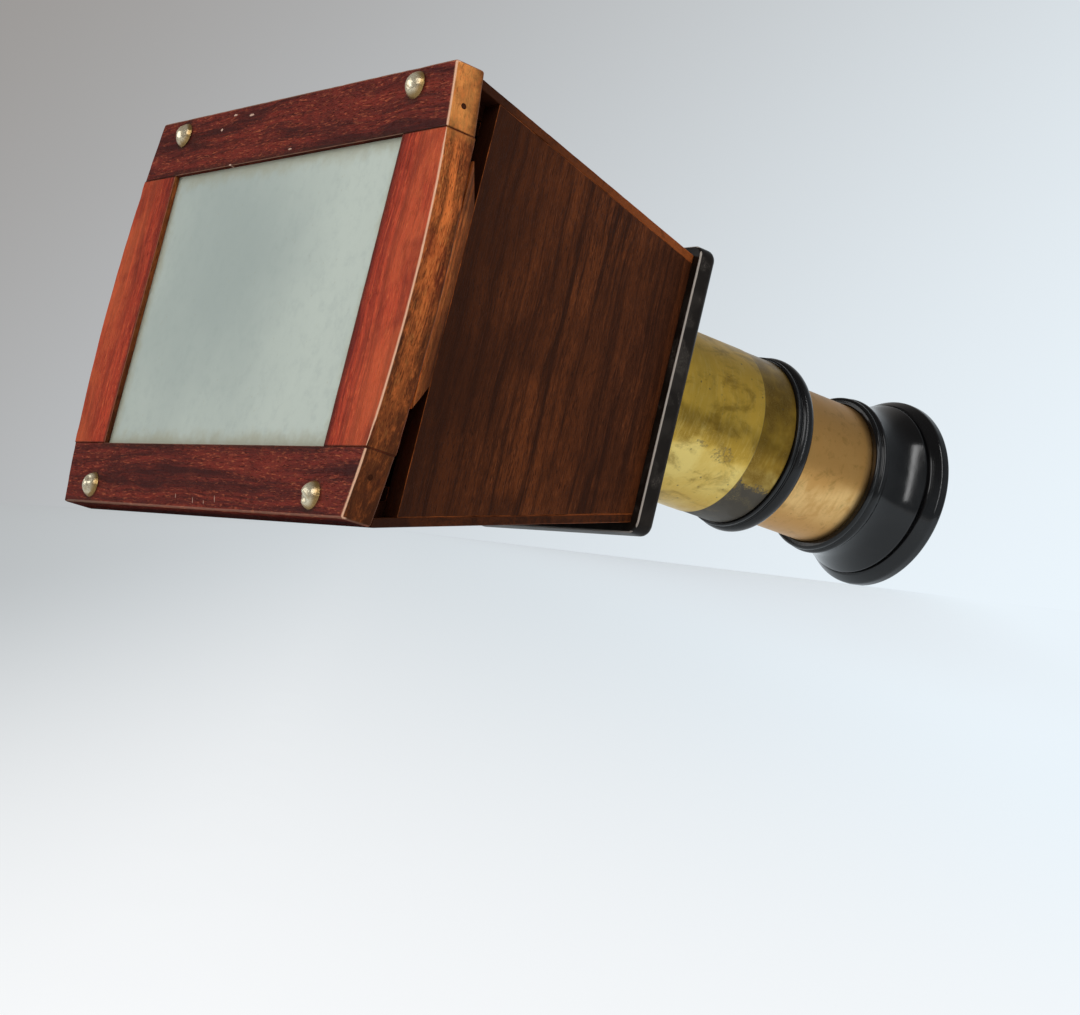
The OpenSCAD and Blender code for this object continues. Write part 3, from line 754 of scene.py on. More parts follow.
def barrel_material(metal):
    """Tarnished brass with painted reflection bands round it, browner past the seam, with a bare
    grey patch by the collar.
    """
    finish = Finish("barrel_brass", metal.barrel_clean)
    angle, along = around(finish)
    cloud = finish.blotch(12.0, 0.48)
    lines = finish.clouds(1.0, 5.0, 0.55, stretch=(0.25, 1.6, 0.25))
    # Painted reflection by the angle round the axis: dull brass over the upper side with a dark
    # brown band along its lower edge, bright brass below and dull again at the bottom.
    turn = angle + finish.ragged(40.0, 0.06, 3.0, 0.6)
    finish.fade(turn, -29.0, -19.0, 1.0, metal.barrel_tarnish_and_reflection)
    dark_reflection_band = finish.step(turn, -26.0, -20.0) * finish.step(turn, -2.0, -14.0)
    finish.lay(dark_reflection_band * 0.7, metal.barrel_brown_and_reflection)
    finish.fade(angle, -44.0, -66.0, 0.75, metal.barrel_tarnish_and_reflection)
    finish.lay(cloud["Mask"] * 0.45, metal.barrel_tarnish_and_reflection)
    finish.fade(lines, 0.45, 0.8, 0.3, metal.barrel_clean)
    smudge = finish.clouds(0.17, 6.0, 0.68, 0.6, stretch=(1.0, 0.6, 1.0))
    finish.fade(smudge, 0.47, 0.68, 0.6, metal.barrel_brown_and_reflection)

    seam = metal.seam_place / MM
    past = finish.step(along, seam - 0.15, seam + 0.15)
    fade = finish.step(finish.clouds(0.16, 3.0), 0.25, 0.7, 0.45, 1.0)
    finish.lay(past * fade, metal.barrel_brown_and_reflection)
    patch = past * finish.step(angle + finish.ragged(34.0, 0.55, 6.0, 0.75), -37.0, -41.0)
    finish.lay(patch, metal.bare_patch_and_shade)

    fine = finish.step(finish.clouds(2.4, 3.0, 0.6), 0.66, 0.74, 0.0, 0.5)
    stain_places = (((20.1, 128.4, -9.4), (2.8, 3.4, 2.6)), ((20.8, 121.0, -8.6), (1.6, 2.4, 0.9)))
    speckle = finish.step(finish.clouds(1.1, 4.0, 0.7), 0.42, 0.6)
    stain = finish.marks(finish.spot, stain_places) * speckle
    line = finish.step(abs(along - seam), 0.22, 0.05)
    dark = finish.most(finish.most(cloud["Specks"] * 0.7, fine), stain * 0.6)
    dark = finish.most(dark, line * 0.5)
    finish.lay(dark, metal.bare_patch_and_shade)
    finish.lay(finish.hairs(0.5) * 0.3, metal.barrel_clean)
    rough = cloud["Mask"] * 0.1 + 0.28 + patch * 0.2
    metallic = finish.step(patch, 0.0, 1.0, 0.96, 0.6)
    return finish.show(rough, lines * 0.1 - dark, 0.025, metallic)


def tube_material(metal):
    """Bare drawn brass, rubbed brown in soft streaks around the tube, with painted reflection that
    dulls its upper side and its bottom, and painted shade by the eyepiece.
    """
    finish = Finish("tube_brass", metal.tube_clean)
    angle, along = around(finish)
    cloud = finish.blotch(10.0, 0.5)
    lines = finish.clouds(1.0, 5.0, 0.55, stretch=(0.12, 1.1, 0.12))
    turn = angle + finish.ragged(36.0, 0.07, 3.0, 0.6)
    smudge = finish.clouds(0.14, 6.0, 0.66, 0.6, stretch=(1.0, 1.6, 1.0))
    # Painted reflection by the angle round the axis: dull on the upper side and at the bottom,
    # bright in the lower middle.
    finish.fade(turn, -32.0, -12.0, 1.0, metal.tube_dull_and_reflection)
    finish.lay(cloud["Mask"] * 0.3, metal.tube_dull_and_reflection)
    finish.fade(lines, 0.4, 0.75, 0.35, metal.tube_dull_and_reflection)
    finish.fade(smudge, 0.46, 0.66, 0.7, metal.tube_dull_and_reflection)
    finish.fade(angle, -42.0, -62.0, 0.95, metal.tube_dull_and_reflection)
    # Painted shade where the draw tube runs into the eyepiece.
    end, _ = reach("eyepiece_cup")
    foot = finish.step(along + lines * 1.5, end - 2.0, end + 0.4)
    finish.lay(foot * 0.4, metal.bare_patch_and_shade)
    mottle = finish.step(finish.clouds(0.3, 7.0, 0.72, 0.5), 0.5, 0.72, 0.0, 0.4)
    finish.lay(finish.most(mottle, cloud["Specks"] * 0.35), metal.barrel_brown_and_reflection)
    finish.lay(finish.hairs(0.5) * 0.25, metal.tube_clean)
    return finish.show(lines * 0.1 + 0.34, lines * 0.1, 0.02, 0.95)


def nail_material(metal, name="nail_brass"):
    """Dull brass with rubbed crowns and dark feet."""
    finish = Finish(name, metal.nail_dull)
    cloud = finish.blotch(2.0, 0.45)["Mask"]
    finish.fade(finish.facing(AXIS), 0.45, 0.9, 1.0, metal.nail_clean)
    finish.lay(cloud * 0.5, metal.nail_dull)
    return finish.show(cloud * 0.15 + 0.26, finish.clouds(0.9, 3.0, 0.5), 0.3, 0.7)


def pane_material(glass):
    """Ground glass with soft clouds, specks and yellowed edges."""
    finish = Finish("ground_glass", glass.pane)
    across, _, up = finish.split(finish.spot)
    height = up - FRAME_MIDDLE
    hollow = finish.length(finish.join(across + 10.0, 0.0, height - 5.0))
    ripple = finish.ragged(60.0, 0.022, 4.0, 0.55, 0.2) + across * 0.35
    finish.fade(hollow + ripple, 62.0, 2.0, 0.85, glass.pane_cloud)
    mottle = finish.clouds(0.35, 5.0, 0.65)
    finish.fade(mottle, 0.45, 0.75, 0.3, glass.pane_cloud)
    border = finish.math("MINIMUM", WINDOW_HALF_W - abs(across), WINDOW_HALF_H - abs(height))
    dirt = finish.step(border + finish.ragged(6.0, 0.25, 4.0, 0.6), 4.5, 0.2)
    finish.lay(dirt * 0.6, glass.pane_edge)
    finish.lay(finish.blotch(5.0, 0.4)["Specks"] * 0.2, glass.pane_edge)
    grind = finish.clouds(6.0, 3.0, 0.7)
    return finish.show(mottle * 0.2 + 0.45, grind, 0.02, Specular_IOR_Level=0.3)


def lens_material(glass):
    """Clear polished glass with a little dust."""
    finish = Finish("lens_glass", glass.lens)
    rough = finish.step(finish.clouds(0.6, 5.0, 0.7), 0.5, 0.8, 0.02, 0.12)
    return finish.show(rough, Transmission_Weight=1.0, IOR=1.52)


def link(name, data):
    """A new object with this data, at the origin."""
    piece = bpy.data.objects.new(name, data)
    bpy.context.scene.collection.objects.link(piece)
    return piece


def settle(piece):
    """Turns a piece's modifiers into its plain mesh."""
    depsgraph = bpy.context.evaluated_depsgraph_get()
    mesh = bpy.data.meshes.new_from_object(piece.evaluated_get(depsgraph), depsgraph=depsgraph)
    piece.modifiers.clear()
    spare = piece.data
    piece.data = mesh
    bpy.data.meshes.remove(spare)
    mesh.name = piece.name
    return piece


def hand_over(piece, body, slot, node):
    """The piece stands for the node and moves with the body. The slot is not used."""
    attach(piece, body)
    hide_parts(node)


MERGE_DISTANCE = 0.002 * MM
EDGE_STEP = 2.5 * MM
LEAST_ARRIS = 1.5 * MM
ARRIS_ANGLE = 24.0
SMOOTH_ANGLE = 50.0
TURNED_ANGLE = 28.0
LENS_ANGLE = 20.0
FLAT_ANGLE = 0.04
TURNED_FLAT_ANGLE = 0.3
BEVEL_STEPS = 4
BROAD_DENT = 4.5 * MM
FINE_DENT = 1.7 * MM
NAIL_DENT = 2.1 * MM


def merged_copy(node, flat_angle):
    """A copy of a CAD node's mesh with its corners joined, and its faces up to an angle."""
    edit = bmesh.new()
    edit.from_mesh(frame["nodes"][node].data)
    bmesh.ops.remove_doubles(edit, verts=edit.verts, dist=MERGE_DISTANCE)
    if flat_angle:
        limit = math.radians(flat_angle)
        bmesh.ops.dissolve_limit(edit, angle_limit=limit, verts=edit.verts, edges=edit.edges)
    return edit


def bend(edge):
    """The angle at which an edge's two faces meet, or no number for other edges."""
    return edge.calc_face_angle() if len(edge.link_faces) == 2 else math.nan


def smooth_edges(edit, angle):
    """Smooths the edges whose faces meet at less than an angle in degrees."""
    for edge in edit.edges:
        edge.smooth = bend(edge) < math.radians(angle)


def new_mesh(name, edit, *materials):
    """A mesh from an edited one, with its materials."""
    mesh = bpy.data.meshes.new(name)
    edit.to_mesh(mesh)
    edit.free()
    for material in materials:
        mesh.materials.append(material)
    return mesh


def round_edges(piece, width, **settings):
    """Rounds a piece's edges."""
    bevel = piece.modifiers.new("rounded_edges", "BEVEL")
    bevel.width = width
    bevel.segments = BEVEL_STEPS
    bevel.use_clamp_overlap = False
    for name, value in settings.items():
        setattr(bevel, name, value)
    settle(piece)


def worn_piece(name, node, wood, is_soft, material):
    """A copy of a CAD node with rounded, slightly dented edges that carry a wear mark."""
    edit = merged_copy(node, FLAT_ANGLE)
    weight = edit.edges.layers.float.new("bevel_weight_edge")
    share = wood.crisp_arris / wood.soft_arris
    runs = {}
    for edge in edit.edges:
        length = edge.calc_length()
        if bend(edge) > math.radians(ARRIS_ANGLE) and length > LEAST_ARRIS:
            middle = local((edge.verts[0].co + edge.verts[1].co) / 2)
            edge[weight] = 1.0 if is_soft(middle) else share
            runs.setdefault(int(length / EDGE_STEP), []).append(edge)
    for cuts, edges in runs.items():
        if cuts:
            bmesh.ops.bisect_edges(edit, edges=edges, cuts=cuts)
    piece = link(name, new_mesh(name, edit, material, material))
    round_edges(
        piece, wood.soft_arris, limit_method="WEIGHT", material=1, miter_outer="MITER_ARC"
    )
    mark_wear(piece.data, wood.dent, wood.crisp_arris)
    piece.data.shade_smooth()
    weighted = piece.modifiers.new("flat_faces", "WEIGHTED_NORMAL")
    weighted.keep_sharp = True
    weighted.weight = 80
    weighted.mode = "FACE_AREA_WITH_ANGLE"
    return settle(piece)


def mark_wear(mesh, dent, crisp):
    """Marks the rounded edges as worn and dents them a little."""
    edit = bmesh.new()
    edit.from_mesh(mesh)
    wear = edit.verts.layers.float.new("wear")
    edit.normal_update()
    for vertex in edit.verts:
        inside = all(face.material_index == 1 for face in vertex.link_faces)
        vertex[wear] = 1.0 if inside else 0.0
    for vertex in edit.verts:
        if vertex[wear] and min(edge.calc_length() for edge in vertex.link_edges) > 0.3 * crisp:
            broad = noise.noise(vertex.co / BROAD_DENT)
            hollow = broad + 0.6 * noise.noise(vertex.co / FINE_DENT)
            vertex.co -= vertex.normal * dent * max(0.0, hollow)
    for face in edit.faces:
        face.material_index = 0
    smooth_edges(edit, SMOOTH_ANGLE)
    edit.to_mesh(mesh)
    edit.free()
    mesh.materials.pop()


def smooth_piece(name, node, material, angle=30.0, rounding=0.0):
    """A copy of a CAD node with joined corners, smooth curved faces and rounded edges."""
    edit = merged_copy(node, TURNED_FLAT_ANGLE if rounding else 0.0)
    smooth_edges(edit, angle)
    mesh = new_mesh(name, edit, material)
    mesh.shade_smooth()
    piece = link(name, mesh)
    if rounding:
        round_edges(piece, rounding, angle_limit=math.radians(angle))
    return piece


def dress_smooth(name, node, body, slot, material, *edges):
    """Hands over a smooth copy of a CAD node."""
    hand_over(smooth_piece(name, node, material, *edges), body, slot, node)


def geometry_tree(name, **takes):
    """An empty Geometry Nodes tree with named inputs, as its net and its inputs."""
    return new_tree(name, {"Geometry": "g", **takes}, {"Geometry": "g"}, "GeometryNodeTree")


def run_tree(piece, tree, **values):
    """Runs a Geometry Nodes tree on a piece, with its inputs set by their sockets' identifiers."""
    modifier = piece.modifiers.new(tree.name, "NODES")
    modifier.node_group = tree
    for item in tree.interface.items_tree:
        if item.item_type == "SOCKET" and item.in_out == "INPUT" and item.name in values:
            modifier[item.identifier] = values[item.name]
    settle(piece)


def sweep_outline(net, outline, segments, radius, merge):
    """Sweeps an outline of radius and height round the Z axis and closes it."""
    curve = net.out("GeometryNodeMeshToCurve", {0: outline})
    values = {"Geometry": curve, "Translation": net.join(radius * -1.0), "Scale": (1.0, -1.0, 1.0)}
    profile = net.out("GeometryNodeTransform", values)
    ring = net.out("GeometryNodeCurvePrimitiveCircle", {"Resolution": segments, "Radius": radius})
    swept = net.out("GeometryNodeCurveToMesh", {"Curve": ring, "Profile Curve": profile})
    return net.out("GeometryNodeMergeByDistance", {"Geometry": swept, "Distance": merge})


def give_coated(net, shape, finish):
    """Ends a tree with its instances made real and its material set."""
    real = net.out("GeometryNodeRealizeInstances", {"Geometry": shape})
    values = {"Geometry": real, "Material": finish}
    return net.give(Geometry=net.out("GeometryNodeSetMaterial", values))


@cache
def turned_tree():
    """Turns an outline into a closed round piece about the optical axis."""
    net, takes = geometry_tree(
        "turned_piece", Segments="i", Radius="f", Place="v", Turn="v", Finish="m"
    )
    closed = sweep_outline(
        net, takes["Geometry"], takes["Segments"], takes["Radius"], 0.001 * MM
    )
    values = {"Geometry": closed, "Translation": takes["Place"], "Rotation": takes["Turn"]}
    return give_coated(net, net.out("GeometryNodeTransform", values), takes["Finish"])


def nails_tree():
    """Sets a domed nail, turned from an outline, on every point, each with its own lean."""
    net, takes = geometry_tree(
        "domed_nails", Segments="i", Radius="f", Turn="v", Lean="f", Seed="i", Finish="m"
    )

    def marked(domain, mark):
        """The edges or points that carry a mark."""
        chosen = net.out("GeometryNodeInputNamedAttribute", {"Name": mark}, data_type="BOOLEAN")
        values = {"Geometry": takes["Geometry"], "Selection": chosen}
        return net.out("GeometryNodeSeparateGeometry", values, domain=domain)

    closed = sweep_outline(
        net, marked("EDGE", "outline"), takes["Segments"], takes["Radius"], MERGE_DISTANCE
    )
    aimed = net.out("GeometryNodeTransform", {"Geometry": closed, "Rotation": takes["Turn"]})
    spread = net.join(takes["Lean"], takes["Lean"], takes["Lean"])
    least = net.vector("MULTIPLY", spread, (-1.0, -1.0, -1.0))
    values = {"Min": least, "Max": spread, "Seed": takes["Seed"]}
    lean = net.out("FunctionNodeRandomValue", values, data_type="FLOAT_VECTOR")
    values = {"Points": marked("POINT", "nail_place"), "Instance": aimed, "Rotation": lean}
    return give_coated(net, net.out("GeometryNodeInstanceOnPoints", values), takes["Finish"])


TURN_SEGMENTS = 144
NAIL_SEGMENTS = 40
SWEEP_RADIUS = 0.05
TO_AXIS = Vector((0.0, 0.0, 1.0)).rotation_difference(AXIS).to_euler()


def outline_mesh(name, outline):
    """A loop of edges through an outline, given as radii and places along the axis, in mm."""
    mesh = bpy.data.meshes.new(name)
    points = [(radius * MM, along * MM, 0.0) for radius, along in outline]
    edges = [(i, (i + 1) % len(points)) for i in range(len(points))]
    mesh.from_pydata(points, edges, [])
    return mesh


def outward(mesh, angle):
    """Points a closed mesh's faces outwards and smooths it up to an angle in degrees."""
    edit = bmesh.new()
    edit.from_mesh(mesh)
    bmesh.ops.dissolve_degenerate(edit, edges=edit.edges, dist=0.0005 * MM)
    bmesh.ops.recalc_face_normals(edit, faces=edit.faces)
    edit.to_mesh(mesh)
    edit.free()
    mesh.shade_smooth()
    mesh.set_sharp_from_angle(angle=math.radians(angle))


def turned_piece(name, outline, material):
    """A round piece turned from its outline."""
    piece = link(name, outline_mesh(name, outline))
    run_tree(
        piece,
        turned_tree(),
        Segments=TURN_SEGMENTS,
        Radius=SWEEP_RADIUS,
        Place=ORIGIN,
        Turn=TO_AXIS,
        Finish=material,
    )
    outward(piece.data, angle=34.0)
    return piece


def arc(radius, along, size, start, end, steps=6):
    """Points round an edge, as radius and place along the axis, in mm and degrees."""
    angles = [math.radians(start + (end - start) * i / steps) for i in range(steps + 1)]
    return [(radius + size * math.cos(angle), along + size * math.sin(angle)) for angle in angles]


def seen_ray(net):
    """1 for rays that see the backdrop: from the camera, from gloss or through glass."""
    path = net.outs(net.put("ShaderNodeLightPath"))
    seen = net.most(path["Is Camera Ray"], path["Is Glossy Ray"])
    return net.most(seen, path["Is Transmission Ray"])


# How the floor bends and how steep it gets, and how far its grid reaches, in metres.
ROLL_RADIUS = 120 * MM
STEEPEST = 0.35
GRID_STEP = 4 * MM
GRID_EVEN = 0.2
GRID_END = 2.4
GRID_GROWTH = 1.18


def roll_down(distance):
    """How far the floor has rolled down at a distance past the line where it bends."""
    knee = ROLL_RADIUS * STEEPEST
    if distance <= 0:
        return 0.0
    if distance < knee:
        return distance * distance / (2 * ROLL_RADIUS)
    return STEEPEST * (distance - knee / 2)


def grid_lines():
    """Grid lines from the middle outwards, close together under the viewer."""
    step, place, lines = GRID_STEP, 0.0, [0.0]
    while place < GRID_END:
        place += step
        lines.append(place)
        if place > GRID_EVEN:
            step *= GRID_GROWTH
    return [-line for line in reversed(lines[1:])] + lines


class VIEWER_OT_stage(bpy.types.Operator):
    """Sets up the floor, the light and the camera"""

    bl_idname = "slide_viewer.stage"
    bl_label = "Stage"

    def execute(self, context):
        stage = context.scene.viewer_stage
        context.scene.view_settings.view_transform = "Standard"
        self.camera(context, stage)
        self.floor(stage)
        self.world(context, stage)
        middle = (Vector(CAD_BOX[0]) + Vector(CAD_BOX[1])) / 2
        rim = placed(0.0, reach("eyepiece_cup")[1], 0.0)
        lean = (-0.39, 0.20, 0.91)
        self.lamp("key_lamp", (0.76, -0.64, 0.70), (0.7, 0.7), stage.key_power, middle)
        self.lamp("fill_lamp", (-0.55, -0.85, 0.30), (0.8, 0.6), stage.fill_power, middle)
        self.lamp("strip_lamp", (0.80, 0.23, 0.42), (0.08, 1.3), stage.strip_power, rim, lean)
        return {"FINISHED"}

    def camera(self, context, stage):
        """A camera where the photograph was taken from."""
        data = bpy.data.cameras.new("camera")
        data.lens = stage.lens
        data.sensor_width = 36.0
        data.clip_start = 0.001
        camera = link("camera", data)
        camera.location = stage.camera_place
        camera.rotation_euler = stage.camera_turn
        context.scene.camera = camera

    def floor(self, stage):
        """A paper floor, flat under and behind the viewer, that rolls down in front of it."""
        foot_y = min(point.y for point in node_points("bottom_panel") if point.z < 2 * MM)
        corner = Vector((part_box("frame_right_stile")[1].x, foot_y))
        rim = Vector((2 * MM, max(p.y for p in node_points("eyepiece_cap") if p.z < 1 * MM)))
        run = (rim - corner).normalized()
        outward_side = Vector((run.y, -run.x))

        def depth(x, y):
            side = (Vector((x, y)) - corner).dot(outward_side)
            return max(roll_down(side), roll_down(foot_y - y))

        lines = grid_lines()
        edit = bmesh.new()
        rows = [[edit.verts.new((x, y, -depth(x, y))) for y in lines] for x in lines]
        for one, other in zip(rows, rows[1:]):
            for corners in zip(one, other, other[1:], one[1:]):
                edit.faces.new(corners)
        mesh = new_mesh("paper_floor", edit, self.paper(stage))
        mesh.shade_smooth()
        link("paper_floor", mesh)

    def paper(self, stage):
        """Pale paper with a paleness of its own, less under the viewer to keep the shadow."""
        finish = Finish("pale_paper", stage.floor)
        point = finish.place["Object"]
        finish.lay(finish.noise(point, 900.0, 3.0, 0.6) * 0.04, (0.7, 0.7, 0.7))
        finish.show(0.9, Specular_IOR_Level=0.1)
        turn = Euler(stage.camera_turn).to_matrix()
        sideways = finish.dot(point, turn @ Vector((1.0, 0.0, 0.0)))
        nearer = finish.dot(point, turn @ Vector((0.0, 0.0, 1.0)))
        glow = finish.mix(finish.step(sideways, -0.17, 0.11), stage.backdrop_mid, stage.floor_pale)
        glow = finish.mix(finish.step(nearer, 0.12, 0.46), glow, (0.98, 0.99, 1.0))
        lit = finish.out("ShaderNodeEmission", {"Color": glow, "Strength": 1.0})
        most = stage.floor_glow
        share = seen_ray(finish) * finish.step(finish.length(point), 0.05, 0.15, 0.65 * most, most)
        matt = Value(finish, finish.shader.outputs[0])
        both = finish.out("ShaderNodeMixShader", {0: share, 1: matt, 2: lit})
        finish.feed(finish.tree.nodes["Material Output"].inputs["Surface"], both)
        return finish.material

    def world(self, context, stage):
        """Even light all around, with a pale backdrop for what looks past the floor."""
        world = bpy.data.worlds.new("studio")
        context.scene.world = world
        world.use_nodes = True
        net = Net(world.node_tree)
        light = world.node_tree.nodes["Background"]
        light.inputs["Color"].default_value = (1.0, 0.99, 0.97, 1.0)
        light.inputs["Strength"].default_value = stage.ambient
        turn = Euler(stage.camera_turn).to_matrix()
        towards = net.out("ShaderNodeTexCoord", output="Generated")

        def along_of(direction):
            return net.dot(towards, (turn @ Vector(direction)).normalized())

        slant = net.step(along_of((0.7, -0.71, 0.0)), -0.37, 0.213)
        colour = net.mix(slant, stage.backdrop_dark, stage.backdrop_pale)
        ahead = net.step(along_of((0.0, 0.0, -1.0)), 0.4, 0.9, stage.dim, 1.0)
        _, _, rise = net.split(towards)
        mirrored = ahead * net.step(rise, 0.15, 0.5, 1.0, 0.75)
        level = net.most(mirrored, net.out("ShaderNodeLightPath", output="Is Camera Ray"))
        backdrop = net.out("ShaderNodeBackground", {"Color": colour, "Strength": level})
        values = {0: seen_ray(net), 1: Value(net, light.outputs[0]), 2: backdrop}
        both = net.out("ShaderNodeMixShader", values)
        net.feed(world.node_tree.nodes["World Output"].inputs["Surface"], both)

    def lamp(self, name, place, size, power, target, tall=(0.0, 0.0, 1.0)):
        """A soft rectangular lamp aimed at the viewer, with its height along a direction."""
        data = bpy.data.lights.new(name, "AREA")
        data.shape = "RECTANGLE"
        data.size, data.size_y = size
        data.energy = power
        lamp = link(name, data)
        lamp.location = place
        back = (Vector(place) - target).normalized()
        beside = Vector(tall).cross(back).normalized()
        lamp.rotation_euler = Matrix((beside, back.cross(beside), back)).transposed().to_euler()


# How far the handled edges reach in from the frame's outline and stay off its joints, in mm.
HANDLED_RAIL = 14.0
HANDLED_STILE = 8.0
JOINT_GAP = 3.0


def never(spot):
    """For pieces without handled edges."""
    return False


class VIEWER_OT_frame_wood(bpy.types.Operator):
    """Dresses the frame's rails, stiles and slide stop"""

    bl_idname = "slide_viewer.frame_wood"
    bl_label = "Frame"

    def execute(self, context):
        wood = context.scene.viewer_wood
        rail_colours = wood.rail_dark, wood.rail_middle, wood.rail_fleck
        stile_colours = wood.stile_dark, wood.stile_middle, wood.stile_fleck
        rail = frame_material("rail_wood", wood, ALONG_X, rail_colours, 0.0, True)
        stile = frame_material("stile_wood", wood, ALONG_Z, stile_colours, 0.5, False)
        # Painted shade that darkens the stop block towards its back.
        block_shade = (8.0, 14.0, 0.75)
        block = box_material("stop_wood", wood, ALONG_Z, 0.0, side_colours(wood), block_shade)
        rail_inner = FRAME_HALF - HANDLED_RAIL
        stile_outer = abs(local(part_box("frame_right_stile")[1]).x) - HANDLED_STILE

        def outer_rail(spot):
            return abs(spot.z - FRAME_MIDDLE) > rail_inner

        def outer_stile(spot):
            height = abs(spot.z - FRAME_MIDDLE)
            return abs(spot.x) > stile_outer and height < rail_inner - JOINT_GAP

        for name, node, is_soft, finish, slot in (
            ("top_rail", "frame_top_rail", outer_rail, rail, "mahogany_rail"),
            ("bottom_rail", "frame_bottom_rail", outer_rail, rail, "mahogany_rail"),
            ("left_stile", "frame_left_stile", outer_stile, stile, "mahogany_stile"),
            ("right_stile", "frame_right_stile", outer_stile, stile, "mahogany_stile"),
            ("stop_block", "slide_stop", never, block, "mahogany_stile"),
        ):
            hand_over(worn_piece(name, node, wood, is_soft, finish), "viewer", slot, node)
        return {"FINISHED"}


class VIEWER_OT_glazing(bpy.types.Operator):
    """Dresses the ground glass and the beads that hold it"""

    bl_idname = "slide_viewer.glazing"
    bl_label = "Glazing"

    def execute(self, context):
        pane = pane_material(context.scene.viewer_glass)
        bead = box_material("bead_wood", context.scene.viewer_wood, ALONG_X, 0.0)
        for node, finish in (("ground_glass", pane), ("glazing_beads", bead)):
            materials = frame["nodes"][node].data.materials
            materials.clear()
            materials.append(finish)
        return {"FINISHED"}


# A nail's shank and point in mm, its lean in degrees and the share of its head that is dented.
SHANK_RADIUS = 0.8
NAIL_POINT = 1.0
NAIL_LEAN = 3.0
HEAD_END = 0.95


class VIEWER_OT_fasteners(bpy.types.Operator):
    """Makes the domed nails and dresses the pins and the plate's screws"""

    bl_idname = "slide_viewer.fasteners"
    bl_label = "Nails, pins and screws"

    def execute(self, context):
        metal = context.scene.viewer_metal
        self.nails(metal)
        peg = box_material("peg_wood", context.scene.viewer_wood, ALONG_X, 0.0)
        dress_smooth("pegs", "tenon_pins", "viewer", "mahogany_box", peg)
        screw = nail_material(metal, "screw_brass")
        dress_smooth("plate_screws", "end_plate_screws", "viewer", "nail_brass", screw)
        return {"FINISHED"}

    def nail_places(self):
        """The middle of each nail's foot, from the CAD nails."""
        spots = node_spots("frame_nails")
        for side in (-1, 1):
            for end in (-1, 1):
                mine = [s for s in spots if s.x * side > 0 and (s.z - FRAME_MIDDLE) * end > 0]
                low = Vector(map(min, zip(*mine)))
                high = Vector(map(max, zip(*mine)))
                yield placed((low.x + high.x) / 2, low.y, (low.z + high.z) / 2)

    def nails(self, metal):
        """Four nails in one piece. Each is a low dome with a thin foot and a shank."""
        height = metal.nail_height / MM
        radius = metal.nail_width / (2 * MM)
        bow = (radius * radius + height * height) / (2 * height)
        sweep = math.asin(min(1.0, radius / bow))
        angles = [sweep * i / 10 for i in range(11)]
        dome = [(bow * math.sin(angle), bow * (1 - math.cos(angle))) for angle in angles]
        start, end = reach("frame_nails")
        deep = end - start
        shank = [(SHANK_RADIUS, height), (SHANK_RADIUS, deep - NAIL_POINT), (0.0, deep)]
        outline = [(0.0, 0.0), *dome[1:], *shank]
        mesh = outline_mesh("frame_nails_brass", outline)
        edit = bmesh.new()
        edit.from_mesh(mesh)
        on_outline = edit.edges.layers.bool.new("outline")
        on_place = edit.verts.layers.bool.new("nail_place")
        for edge in edit.edges:
            edge[on_outline] = True
        for place in self.nail_places():
            edit.verts.new(place)[on_place] = True
        edit.to_mesh(mesh)
        edit.free()
        piece = link("domed_nails", mesh)
        run_tree(
            piece,
            nails_tree(),
            Segments=NAIL_SEGMENTS,
            Radius=SWEEP_RADIUS,
            Turn=TO_AXIS,
            Lean=math.radians(NAIL_LEAN),
            Seed=metal.nail_seed,
            Finish=nail_material(metal),
        )
        outward(piece.data, angle=40.0)
        for vertex in piece.data.vertices:
            depth = (local(vertex.co).y - start) / height
            if depth < HEAD_END:
                hollow = noise.noise(vertex.co / NAIL_DENT)
                vertex.co += AXIS * metal.nail_dent * max(0.0, hollow) * (1.0 - depth)
        piece.data.update()
        hand_over(piece, "viewer", "nail_brass", "frame_nails")


class VIEWER_OT_box_wood(bpy.types.Operator):
    """Dresses the tapered box and its runners"""

    bl_idname = "slide_viewer.box_wood"
    bl_label = "Box"

    def execute(self, context):
        wood = context.scene.viewer_wood
        sides = box_material("box_wood", wood, ALONG_Z, 0.1)
        top = panel_material("top_panel_wood", wood, 0.62)
        bottom = panel_material("bottom_panel_wood", wood, 0.3)
        for name, node, finish in (
            ("side_left", "left_panel", sides),
            ("side_right", "right_panel", sides),
            ("lid_top", "top_panel", top),
            ("lid_bottom", "bottom_panel", bottom),
            ("top_slide_runner", "top_runner", sides),
            ("bottom_slide_runner", "bottom_runner", sides),
        ):
            piece = worn_piece(name, node, wood, never, finish)
            hand_over(piece, "viewer", "mahogany_box", node)
        return {"FINISHED"}


# Where the plate's front edge is rubbed, from its face, in mm.
RUBBED_START = 0.02
RUBBED_END = 0.48


class VIEWER_OT_end_plate(bpy.types.Operator):
    """Dresses the black end plate"""

    bl_idname = "slide_viewer.end_plate"
    bl_label = "End plate"

    def execute(self, context):
        black = context.scene.viewer_black
        looks = {"share": 0.6, "rough": 0.3, "gloss": 0.16}
        finish = black_material("plate_black", black.plate, black.plate_worn, **looks)
        piece = smooth_piece("black_plate", "end_plate", finish, angle=40.0)
        wear = piece.data.attributes.new("wear", "FLOAT", "POINT")
        start, _ = reach("end_plate")
        half, middle = upright("end_plate")
        for vertex, mark in zip(piece.data.vertices, wear.data):
            spot = local(vertex.co)
            is_outer = max(abs(spot.x), abs(spot.z - middle)) > half - RUBBED_END
            is_rubbed = is_outer and RUBBED_START < spot.y - start < RUBBED_END
            mark.value = 1.0 if is_rubbed else 0.0
        hand_over(piece, "viewer", "black_wood", "end_plate")
        return {"FINISHED"}


